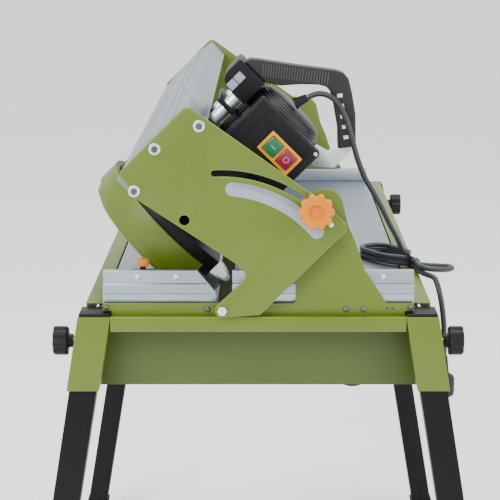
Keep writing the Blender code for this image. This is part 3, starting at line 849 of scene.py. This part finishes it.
@dataclass
class Knob:
    """A hand knob that takes the place of a CAD node, on a neck and a stud."""

    node: str
    axis: Axis
    radius: float
    thickness: float
    lobes: int
    neck: float
    finish: Finish
    out: int
    dip: float = 0.003
    bowl: bool = False

    def build(self) -> None:
        """Build the knob from the node's own place."""
        low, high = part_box(self.node)
        middle = (low + high) / 2
        depth = self.axis.value
        middle[depth] = 0
        tip, root = (high[depth], low[depth]) if self.out > 0 else (low[depth], high[depth])
        start = tip - self.out * self.thickness
        body = frame["nodes"][self.node]["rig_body"]
        shape = lobed(self.radius, self.lobes, start, tip, self.dip, min(0.003, self.thickness / 4),
                      self.axis, middle)
        cut = []
        if self.bowl:
            cut = [turned([(tip - self.out * 0.006, 0.0085), (tip + self.out * 0.001, 0.0135)], self.axis,
                          middle, 40)]
        BENCH.piece(f"{self.node}_grip", shape, self.finish, body, replaces=(self.node,), cut=cut, angle=40)
        neck = [(start - self.out * 0.008, self.neck * 0.9), (start + self.out * 0.001, self.neck)]
        BENCH.piece(f"{self.node}_neck", turned(neck, self.axis, middle, 32), BLACK, body)
        if abs(start - self.out * 0.008 - root) > 0.002:
            stud = [(root, 0.0036), (start - self.out * 0.0075, 0.0036)]
            BENCH.piece(f"{self.node}_stud", turned(stud, self.axis, middle, 20), ZINC, body)


@dataclass
class Stand:
    """Frame, legs, tub, end plates, table and fences."""

    plate_face: float = 0.563
    fence_face: float = 0.547
    clamp_radius: float = 0.0228
    painted: tuple[str, ...] = ("side_rail_left", "side_rail_right", "end_rail_near", "end_rail_far",
                                "end_plate_near", "end_plate_far")

    def build(self) -> None:
        """Build and dress the whole stand."""
        for node in self.painted:
            BENCH.refined(node, POWDER_GREEN, 0.0007, edge=EDGE_HIGHLIGHT_GREEN)
        for word in ("near_left", "near_right", "far_left", "far_right"):
            BENCH.refined(f"leg_socket_{word}", POWDER_GREEN, 0.0010, edge=EDGE_HIGHLIGHT_GREEN)
            BENCH.refined(f"leg_{word}", LEG_BLACK, 0.0006)
            BENCH.refined(f"foot_{word}", RUBBER, 0.0009)
            out = 1 if "right" in word else -1
            Knob(f"clamp_knob_{word}", Axis.ACROSS, self.clamp_radius, 0.0225, 8, 0.0112, BLACK, out).build()
        # The tub takes the darker green: painted shade under the frame.
        BENCH.refined("water_tub", SHADED_TUB_GREEN, 0.0008)
        BENCH.refined("drain_plug", BLACK, 0.0010)
        BENCH.refined("water_pump", BLACK, 0.0040, 4)
        for node in ("table_left", "table_right"):
            BENCH.refined(node, SHADED_BRUSHED_Y, 0.0006)
        for node in ("fence_left", "fence_right", "fence_far"):
            BENCH.refined(node, BRUSHED_X, 0.0006)
        for node in ("pivot_bolt_near", "pivot_bolt_far"):
            BENCH.refined(node, ZINC, 0.0004)
        BENCH.refined("angle_stop", BLACK, 0.0012)
        Knob("stop_knob", Axis.UP, 0.0094, 0.0120, 8, 0.0048, ORANGE, 1, 0.0011).build()
        self.screws()

    def screws(self) -> None:
        """The screws of the end plates and of the near fence."""
        for end, word in ((-1, "near"), (1, "far")):
            row = Row(f"plate_screws_{word}", DARK_STEEL_AND_GROOVE_SHADE, "stand")
            for across in (-0.0777, 0.134, 0.1605):
                row.add((across, end * self.plate_face, TABLE_TOP - 0.0023), (0, end, 0))
            row.build(fastener(Head.CROSS, 0.0046))
        # A thin dark strip along the near fence stands for its groove: painted shade, not a part.
        line = merged([block((left, -0.5562, TABLE_TOP + 0.0196), (right, -0.5556, TABLE_TOP + 0.0204))
                       for left, right in ((-0.236, -0.072), (-0.0385, 0.236))])
        BENCH.piece("fence_groove", line, DARK_STEEL_AND_GROOVE_SHADE, "stand")
        caps, rivets = [], Row("corner_screws", DARK_STEEL_AND_GROOVE_SHADE, "stand")
        for side in (-1, 1):
            for end in (-1, 1):
                wide, long = sorted((side * 0.2262, side * 0.2735)), sorted((end * 0.5285, end * 0.5735))
                caps.append(block((wide[0], long[0], TABLE_TOP - 0.0121),
                                  (wide[1], long[1], TABLE_TOP - 0.0073)))
                rivets.add((side * 0.2325, end * self.plate_face, TABLE_TOP + 0.0004), (0, end, 0))
        # Two dark discs on the near end plate stand for two small holes: painted shade.
        hole_shades = Row("plate_pips", INK_AND_HOLE_SHADE, "stand")
        for across in (0.197, 0.205):
            hole_shades.add((across, -self.plate_face, TABLE_TOP - 0.0016), (0, -1, 0))
        hole_shades.build(turned([(-0.0002, 0.0017), (0.0003, 0.0017)], Axis.UP, Vector((0, 0, 0)), 16))
        BENCH.piece("corner_caps", merged(caps), BLACK, "stand", bevel=0.0012)
        rivets.build(fastener(Head.DOME, 0.0042))
        row = Row("fence_screws", ZINC, "stand")
        for across in (-0.185, -0.126, 0.191):
            row.add((across, -self.fence_face, TABLE_TOP + 0.0442), (0, -1, 0))
        row.build(fastener(Head.CROSS, 0.0042))


@dataclass
class TiltHead:
    """Brackets, guide rail, bevel scale and lock knobs."""

    face: float = 0.5815
    scale_radius: tuple[float, float] = (0.177, 0.198)
    scale_turn: tuple[float, float] = (-4.6, 40.0)
    bolts: tuple[tuple[float, float], ...] = ((0.038, 0.222), (0.105, 0.2445), (0.176, 0.222))
    rail: tuple[float, float] = (0.031, 0.182)
    grooves: tuple[float, ...] = (0.064, 0.0855, 0.1275, 0.149)

    def build(self) -> None:
        """Build and dress the head."""
        for word in ("near", "far"):
            BENCH.refined(f"tilt_bracket_{word}", POWDER_GREEN, 0.0007, edge=EDGE_HIGHLIGHT_GREEN)
        self.guide_rail()
        Knob("bevel_lock_near", Axis.ALONG, 0.0272, 0.0180, 10, 0.0108, ORANGE, -1, 0.0042, True).build()
        Knob("bevel_lock_far", Axis.ALONG, 0.0272, 0.0180, 10, 0.0108, ORANGE, 1, 0.0042, True).build()
        for end, word in ((-1, "near"), (1, "far")):
            for head, radius, finish in ((Head.WASHER, 0.0088, ZINC), (Head.HEX, 0.0052, DARK_STEEL_AND_GROOVE_SHADE)):
                row = Row(f"rail_{head.name.lower()}_{word}", finish, "head", HEAD)
                for across, up in self.bolts:
                    row.add((across, end * self.face, up), (0, end, 0))
                row.build(fastener(head, radius))
        pin = Row("scale_pointer", ZINC, "head", HEAD)
        pin.add((0.210, -self.face, -0.022), (0, -1, 0))
        pin.build(fastener(Head.DOME, 0.0040))
        self.scale()

    def guide_rail(self) -> None:
        """The crowned rail with long grooves in its top, open underneath."""
        left, right = self.rail
        middle, half = (left + right) / 2, (right - left) / 2
        crown = [(right - (right - left) * step / 60, 0.0) for step in range(61)]
        crown = [(across, 0.2515 + 0.006 * cos((across - middle) / half * pi / 2)) for across, _ in crown]
        for groove in self.grooves:
            top = 0.2515 + 0.006 * cos((groove - middle) / half * pi / 2)
            crown = [point for point in crown if abs(point[0] - groove) > 0.0014]
            notch = [(groove + 0.0009, top), (groove + 0.0008, top - 0.0016),
                     (groove - 0.0008, top - 0.0016),
                     (groove - 0.0009, top)]
            crown = sorted(crown + notch, key=lambda point: -point[0])
        under = [(left, 0.213), (middle - 0.025, 0.213), (middle - 0.025, 0.219), (middle - 0.045, 0.219),
                 (middle - 0.045, 0.245), (middle + 0.045, 0.245), (middle + 0.045, 0.219),
                 (middle + 0.025, 0.219), (middle + 0.025, 0.213), (right, 0.213)]
        BENCH.piece("guide_rail_profile", prism(crown + under, -0.5762, 0.5762), SHADED_BRUSHED_Y, "head", HEAD,
                    bevel=0.0002, segments=1, replaces=("guide_rail",), angle=30)

    def scale(self) -> None:
        """The plain bevel scale: a pale band with radial ticks and no figures."""
        low, high = (radians(turn) for turn in self.scale_turn)
        inner, outer = self.scale_radius
        middle, half = (inner + outer) / 2, (outer - inner) / 2
        ends = [(middle * cos(turn), middle * sin(turn)) for turn in (low, high)]
        band = arc((0, 0), outer, low, high, 24) + arc(ends[1], half, high, high + pi, 10)[1:-1]
        band += arc((0, 0), inner, high, low, 24) + arc(ends[0], half, low + pi, low + 2 * pi, 10)[1:-1]
        shape = prism(band, -self.face - 0.0004, -self.face + 0.0002)
        BENCH.piece("bevel_scale", shape, LABEL, "head", HEAD)
        ticks = Row("bevel_ticks", INK_AND_HOLE_SHADE, "head", HEAD)
        for index in range(46):
            turn = low + (high - low) * (index + 0.5) / 46
            reach = Vector((cos(turn), 0, sin(turn)))
            ticks.add(reach * (outer - 0.004) + Vector((0, -self.face - 0.0004, 0)), (0, -1, 0), reach)
        ticks.build(block((-0.0034, -0.0003, -0.0001), (0.0034, 0.0003, 0.0003)))


@dataclass
class Carriage:
    """Hanger, motor, blade, guards, switch and handle."""

    motor_radius: float = 0.066
    front: float = -0.100
    rib_height: float = 0.003

    def build(self) -> None:
        """Build and dress the carriage."""
        BENCH.refined("carriage_hanger", GREY, 0.0010)
        bars = [turned([(0.1763, 0.0105), (0.2277, 0.0105)], Axis.ACROSS,
                       Vector((0, side * 0.052, 0.1995)), 36)
                for side in (-1, 1)]
        BENCH.piece("support_bars", merged(bars), ZINC, "carriage", CARRIAGE, replaces=("support_rods",))
        cross = block((0.203, -0.066, 0.183), (0.211, 0.066, 0.219))
        BENCH.piece("support_clip", cross, BLACK, "carriage", CARRIAGE, bevel=0.0020, segments=3)
        for node in ("rollers_near", "rollers_far", "spindle"):
            BENCH.refined(node, ZINC, 0.0004)
        self.motor()
        self.guards()
        self.blade()
        self.switch()
        self.handle()

    def motor(self) -> None:
        """Motor body with cooling ribs, and the cover above it."""
        centre = Vector((0, 0, SPINDLE_UP))
        core = self.motor_radius - self.rib_height
        profile = [(0.034, 0.046), (0.040, 0.056), (0.060, 0.058), (0.064, core), (0.256, core),
                   (0.263, 0.0615), (0.270, 0.0580),
                   (0.277, 0.050), (0.2805, 0.034)]
        BENCH.piece("motor_housing", turned(profile, Axis.ACROSS, centre, 64), GREY, "carriage", CARRIAGE,
                    bevel=0.0008, replaces=("motor_body",))
        ribs = Row("motor_ribs", GREY, "carriage", CARRIAGE)
        for index in range(54):
            turn = 2 * pi * index / 54
            reach = Vector((0, cos(turn), sin(turn)))
            ribs.add(centre + reach * core + Vector((0.1625, 0, 0)), reach, (1, 0, 0))
        ribs.build(block((-0.0965, -0.0013, -0.001), (0.0965, 0.0013, self.rib_height - 0.0002)))
        # Rings on the bell end in the lighter rib colour: painted highlight for its fan ribs.
        rings = []
        for face, reach in ((0.2625, 0.0632), (0.2665, 0.0612), (0.2705, 0.0588), (0.2738, 0.0556)):
            profile = [(face, reach), (face + 0.0012, reach), (face + 0.0012, reach - 0.0016)]
            rings.append(turned(profile, Axis.ACROSS, centre, 48))
        BENCH.piece("motor_bell_rings", merged(rings), RIB_HIGHLIGHT, "carriage", CARRIAGE)
        BENCH.refined("motor_cover", BLACK, 0.0014, 3)
        for index, left in enumerate((0.2300, 0.2460)):
            patch = prism(rounded_box((left, 0.2110), (left + 0.0145, 0.2250), 0.0012), -0.0523, -0.0518)
            BENCH.piece(f"cover_patch_{index}", patch, LABEL, "carriage", CARRIAGE)

    def guards(self) -> None:
        """The round green outer guard and the black inner one."""
        centre = (0, SPINDLE_UP)
        radius, bottom = 0.143, 0.056
        steps = ((0.0085, 0.0), (-0.0270, 0.0), (-0.0298, 0.0012), (-0.0312, 0.0060), (-0.0400, 0.0068),
                 (-0.0428, 0.0085), (-0.0442, 0.0180), (-0.0485, 0.0190), (-0.0500, 0.0215))
        levels = [[Vector((across, *point)) for point in ring_of(centre, radius - reach,
                                                                 bottom + reach * 0.4)]
                  for across, reach in steps]
        hollow = prism(ring_of(centre, 0.1345, bottom - 0.025), -0.030, 0.0185, Axis.ACROSS)
        BENCH.piece("guard_outer_shell", loft(levels), POWDER_GREEN, "carriage", CARRIAGE,
                    replaces=("guard_outer",), cut=[hollow], angle=38)
        screws = Row("guard_screws", ZINC, "carriage", CARRIAGE)
        for turn in (35, 90, 145):
            screws.add((-0.0500, 0.095 * cos(radians(turn)), SPINDLE_UP + 0.095 * sin(radians(turn))),
                       (-1, 0, 0))
        screws.build(fastener(Head.CROSS, 0.0044))
        inner = prism(ring_of(centre, 0.134, 0.0375), -0.0033, 0.0280, Axis.ACROSS)
        cavity = prism(ring_of(centre, 0.131, 0.0175), -0.0133, 0.0250, Axis.ACROSS)
        hole = turned([(0.0, 0.0135), (0.05, 0.0135)], Axis.ACROSS, Vector((0, 0, SPINDLE_UP)), 40)
        BENCH.piece("guard_inner_shell", inner, BLACK, "carriage", CARRIAGE, bevel=0.0008,
                    replaces=("guard_inner",), cut=[cavity, hole])

    def blade(self) -> None:
        """Diamond blade: a steel core with slots round it and a gritty rim."""
        half, gap = 0.0009, radians(1.1)
        outline: Outline = []
        for index in range(18):
            start, end = 2 * pi * index / 18 + gap, 2 * pi * (index + 1) / 18 - gap
            outline += arc((0, SPINDLE_UP), 0.1185, start, end, 5)
            outline += arc((0, SPINDLE_UP), 0.1080, end + gap * 0.6, end + gap * 1.4, 1)
        bore = turned([(-0.01, 0.0103), (0.01, 0.0103)], Axis.ACROSS, Vector((0, 0, SPINDLE_UP)), 40)
        BENCH.piece("blade_core", prism(outline, -half, half, Axis.ACROSS), STEEL, "blade_spindle", CARRIAGE,
                    replaces=("blade",), cut=[bore])
        segment = arc((0, 0), 0.1248, gap, 2 * pi / 18 - gap, 6) + arc((0, 0), 0.1180, 2 * pi / 18 - gap,
                                                                       gap, 6)
        rim = Row("blade_rim", GRIT, "blade_spindle", CARRIAGE)
        for index in range(18):
            turn = 2 * pi * index / 18
            rim.add((0, 0, SPINDLE_UP), (1, 0, 0), (0, cos(turn), sin(turn)))
        rim.build(prism(segment, -0.0011, 0.0011, Axis.UP))

    def switch(self) -> None:
        """Switch box with its raised lines, the bezel and both buttons."""
        BENCH.refined("switch_box", BLACK, 0.0010)
        face = self.front
        cuts = [block((0.2045, face - 0.01, low), (0.2312, face + 0.01, high))
                for low, high in ((0.0960, 0.1200), (0.0670, 0.0910))]
        BENCH.piece("switch_frame", block((0.1995, face - 0.0043, 0.0615),
                                          (0.2362, face - 0.0003, 0.1255)), YELLOW,
                    "carriage", CARRIAGE, bevel=0.0007, replaces=("switch_bezel",), cut=cuts)
        BENCH.refined("button_green", GO_GREEN, 0.0016, 3)
        BENCH.refined("button_red", STOP_RED, 0.0016, 3)
        lines = merged([block((0.2414, face - 0.0008, 0.058), (0.2426, face + 0.0006, 0.130)),
                        block((0.2060, face - 0.0008, 0.1509), (0.2500, face + 0.0006, 0.1521))])
        BENCH.piece("switch_box_lines", lines, BLACK, "carriage", CARRIAGE)
        screw = Row("switch_screw", ZINC, "carriage", CARRIAGE)
        screw.add((0.2560, face + 0.0002, 0.0520), (0, -1, 0))
        screw.build(fastener(Head.CROSS, 0.0034))
        middle = 0.21785
        bar = block((middle - 0.0010, face - 0.0078, 0.1030), (middle + 0.0010, face - 0.0073, 0.1130))
        BENCH.piece("mark_on", bar, MARK, "green_button", CARRIAGE)
        ring = turned([(face - 0.0078, 0.0050), (face - 0.0073, 0.0050)], Axis.ALONG,
                      Vector((middle, 0, 0.079)), 32)
        eye = turned([(face - 0.0088, 0.0036), (face - 0.0063, 0.0036)], Axis.ALONG,
                     Vector((middle, 0, 0.079)), 32)
        BENCH.piece("mark_off", ring, MARK, "red_button", CARRIAGE, cut=[eye])

    def handle(self) -> None:
        """Bent grip with fine ribs, its plated bar and the lead's strain relief."""
        BENCH.refined("handle", GRIP_BLACK, 0.0045, 4)
        BENCH.refined("handle_bar", ZINC, 0.0005)
        BENCH.refined("cord_gland", BLACK, 0.0006)
        path = [Vector((0.2870, 0, 0.1990)), Vector((0.3180, 0, 0.1590)), Vector((0.3530, 0, 0.1130))]
        # The grip ribs take the lighter rib colour: painted highlight on their ridges.
        ribs = Row("grip_ribs", RIB_HIGHLIGHT, "carriage", CARRIAGE)
        for first, second in zip(path, path[1:]):
            along = (second - first).normalized()
            out = Vector((-along.z, 0, along.x))
            count = int((second - first).length / 0.0042)
            for index in range(count):
                ribs.add(first + (second - first) * index / count + Vector((0, -0.0420, 0)), (0, -1, 0), out)
        ribs.build(block((-0.0100, -0.0008, -0.0004), (0.0100, 0.0008, 0.0008)))
        studs = Row("grip_windows", ZINC, "carriage", CARRIAGE)
        start, end = Vector((0.3450, -0.0420, 0.0841)), Vector((0.3054, -0.0420, 0.0290))
        for index in range(5):
            studs.add(start + (end - start) * index / 4, (0, -1, 0), (end - start).normalized())
        studs.build(block((-0.0030, -0.0042, -0.0004), (0.0030, 0.0042, 0.0003)))


@dataclass
class Lead:
    """The mains lead in one length: down from the gland, round its hank and over the edge to its plug."""

    radius: float = 0.0045
    heading: float = radians(-56.3)
    centre: Vector = field(default_factory=lambda: Vector((0.251, -0.278, TABLE_TOP)))
    half: float = 0.077
    fold: float = 0.028
    tied_at: float = 0.022
    waist: float = 0.193
    low: float = 0.0052
    high: float = 0.0146
    upper: tuple[Colour, ...] = (
        (0.0788, -0.3930, 1.1012), (0.0950, -0.3952, 1.1068), (0.1120, -0.3995, 1.1040),
        (0.1270, -0.4048, 1.0910), (0.1385, -0.4090, 1.0690), (0.1480, -0.4110, 1.0390),
        (0.1575, -0.4080, 1.0060), (0.1700, -0.3980, 0.9740), (0.1860, -0.3820, 0.9450),
        (0.2010, -0.3635, 0.9170), (0.2160, -0.3420, 0.8860), (0.2315, -0.3190, 0.8560),
        (0.2445, -0.2970, 0.8275))
    tail: tuple[Colour, ...] = (
        (0.2866, -0.3822, 0.8040), (0.2900, -0.3890, 0.8000), (0.2935, -0.3965, 0.7900),
        (0.2970, -0.4040, 0.7740), (0.3005, -0.4070, 0.7520), (0.3030, -0.4080, 0.7280),
        (0.3040, -0.4083, 0.7020), (0.3042, -0.4084, 0.6770))

    def laid(self, along: float, across: float, height: float) -> Vector:
        """A point given in the hank's own axes, in the frame.

        Args:
            along: Distance along the hank.
            across: Distance across it.
            height: Height over the table.

        Returns:
            The point.
        """
        turn = Matrix.Rotation(self.heading, 3, "Z")
        return self.centre + turn @ Vector((along, across, height))

    def pinch(self, along: float) -> float:
        """How much of the hank's width is left at a place along it.

        Args:
            along: Distance along the hank.

        Returns:
            The share of its full width, down to the waist at the tie.
        """
        share = min(1.0, abs(along - self.tied_at) / 0.060)
        return self.waist + (1 - self.waist) * share * share * (3 - 2 * share)

    def hank(self) -> list[Vector]:
        """The line round the hank: half a turn on top, a slope, then most of a turn below.

        Returns:
            The points, from where the lead lands to where it leaves.
        """
        flat: Outline = []
        flat += [(-0.022 - 0.011 * index, self.fold) for index in range(5)]
        left = arc((-self.half, 0), self.fold, pi / 2, pi * 1.5, 8)
        run = [(-self.half + self.half * 2 * index / 8, -self.fold) for index in range(1, 8)]
        right = arc((self.half, 0), self.fold, -pi / 2, pi / 2, 8)
        back = [(self.half - self.half * 2 * index / 8, self.fold) for index in range(1, 8)]
        flat += left + run
        turn_at = len(flat)
        flat += right + back + left + run + [(self.half, -self.fold)]
        points, gone = [], 0.0
        slope = 0.150
        for index, (along, across) in enumerate(flat):
            if index > turn_at:
                before = flat[index - 1]
                gone += ((along - before[0]) ** 2 + (across - before[1]) ** 2) ** 0.5
            share = min(1.0, gone / slope)
            share = share * share * (3 - 2 * share)
            points.append(self.laid(along, across * self.pinch(along),
                                    self.high + (self.low - self.high) * share))
        return points

    def line(self) -> list[Vector]:
        """The lead's whole centreline.

        Returns:
            The points, from the gland to the plug.
        """
        lands = [self.laid(*point) for point in ((0.0125, -0.0100, 0.0262), (0.0075, -0.0010, 0.0245),
                                                 (-0.0010, 0.0065, 0.0195), (-0.0110, 0.0150, 0.0162))]
        upper, tail = [Vector(point) for point in self.upper], [Vector(point) for point in self.tail]
        points = upper + lands + self.hank() + tail
        return smooth_line(points, 0.005)

    def build(self) -> None:
        line = self.line()
        made = BENCH.raw("mains_lead", tube(line, self.radius), STAND)
        made.data.materials.append(SHEATH.material())
        smooth(made, 40)
        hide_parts("cord", "cord_hank", "cord_tail")
        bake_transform(made)
        plug = self.plug(line[-1])
        tie = self.tie()

    def plug(self, end: Vector) -> bpy.types.Object:
        """The moulded plug with its ribbed strain relief.

        Args:
            end: The end of the lead.

        Returns:
            The plug's body.
        """
        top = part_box("plug")[1].z
        centre = Vector((end.x, end.y, 0))
        profile: Outline = []
        for index in range(6):
            depth = top - 0.0002 - index * 0.0048
            wide = 0.0062 + index * 0.0005
            profile += [(depth, wide), (depth - 0.0030, wide + 0.0004), (depth - 0.0031, wide - 0.0012),
                        (depth - 0.0047, wide - 0.0010)]
        profile += [(top - 0.0300, 0.0120), (top - 0.0330, 0.0165), (top - 0.0370, 0.0183),
                    (top - 0.0600, 0.0184),
                    (top - 0.0645, 0.0178), (top - 0.0660, 0.0160)]
        made = BENCH.piece("plug_body", turned(profile, Axis.UP, centre, 40), PLUG_BLACK, "stand",
                           replaces=("plug",))
        pins = merged([turned([(top - 0.0655, 0.0024), (top - 0.0835, 0.0024), (top - 0.0849, 0.0016)],
                              Axis.UP,
                              centre + Vector((side * 0.0095, 0, 0)), 20) for side in (-1, 1)])
        BENCH.piece("plug_pins", pins, ZINC, "stand")
        return made

    def tie(self) -> bpy.types.Object:
        """The tie round the middle of the hank.

        Returns:
            The tie's piece.
        """
        half = self.fold * self.waist + self.radius
        outer = rounded_box((-half - 0.0017, 0.0002), (half + 0.0017, 0.0208), 0.005)
        inner = rounded_box((-half - 0.0003, 0.0005), (half + 0.0003, 0.0195), 0.004)
        levels = [(outer, -0.003), (outer, 0.003), (inner, 0.003), (inner, -0.003)]
        rings = [[self.laid(self.tied_at + depth, across, up * (1 - 0.40 * max(0.0, across) / half))
                  for across, up in ring] for ring, depth in levels]
        shape = loft(rings + rings[:1], closed_ends=False)
        bmesh.ops.remove_doubles(shape, verts=shape.verts, dist=0.00001)
        bmesh.ops.recalc_face_normals(shape, faces=shape.faces)
        return BENCH.piece("lead_tie", shape, BLACK, "stand")


@dataclass(frozen=True)
class Studio:
    """Pale floor, soft light and the camera."""

    eye: Colour = (0.0056, -2.828, 1.3997)
    down: float = 12.68
    lens: float = 110.45
    shift: float = -0.024

    def camera(self) -> None:
        """Set up the camera."""
        data = bpy.data.cameras.new("camera")
        data.lens, data.sensor_width, data.shift_x = self.lens, 36.0, self.shift
        made = bpy.data.objects.new("camera", data)
        made.location = self.eye
        made.rotation_euler = (radians(90 - self.down), 0, 0)
        bpy.context.scene.collection.objects.link(made)
        bpy.context.scene.camera = made

    def light(self, name: str, place: Colour, target: Colour, size: float, power: float) -> None:
        """Add one soft light.

        Args:
            name: The light's name.
            place: Where it is.
            target: What it points at.
            size: The side of its square.
            power: Its power in watts.
        """
        data = bpy.data.lights.new(name, "AREA")
        data.size, data.energy = size, power
        made = bpy.data.objects.new(name, data)
        made.location = place
        made.rotation_euler = (Vector(target) - Vector(place)).to_track_quat("-Z", "Y").to_euler()
        bpy.context.scene.collection.objects.link(made)

    def build(self) -> None:
        """Build the studio round the object."""
        self.camera()
        floor = BENCH.raw("floor", block((-30, -30, -0.02), (30, 30, -0.0002)), STAND)
        floor.data.materials.append(FLOOR.material())
        world = bpy.data.worlds.new("studio")
        world.use_nodes = True
        back = world.node_tree.nodes["Background"]
        back.inputs["Color"].default_value = (1, 1, 1, 1)
        back.inputs["Strength"].default_value = 1.45
        bpy.context.scene.world = world
        self.light("key", (-1.8, -2.6, 3.0), (0, 0, 0.8), 1.8, 120)
        self.light("fill", (2.6, -1.8, 1.9), (0, 0, 0.8), 2.2, 50)
        self.light("top", (0.2, 0.6, 3.4), (0, 0, 0.8), 2.0, 75)


def main() -> None:
    """Build every piece in order."""
    logging.basicConfig(level=logging.INFO, format="%(name)s: %(message)s")
    for part in (Studio(), Lead(), Stand(), TiltHead(), Carriage()):
        LOG.info("building %s", type(part).__name__)
        part.build()
    LOG.info("%d pieces", BENCH.count)


if __name__ == "__main__":
    main()
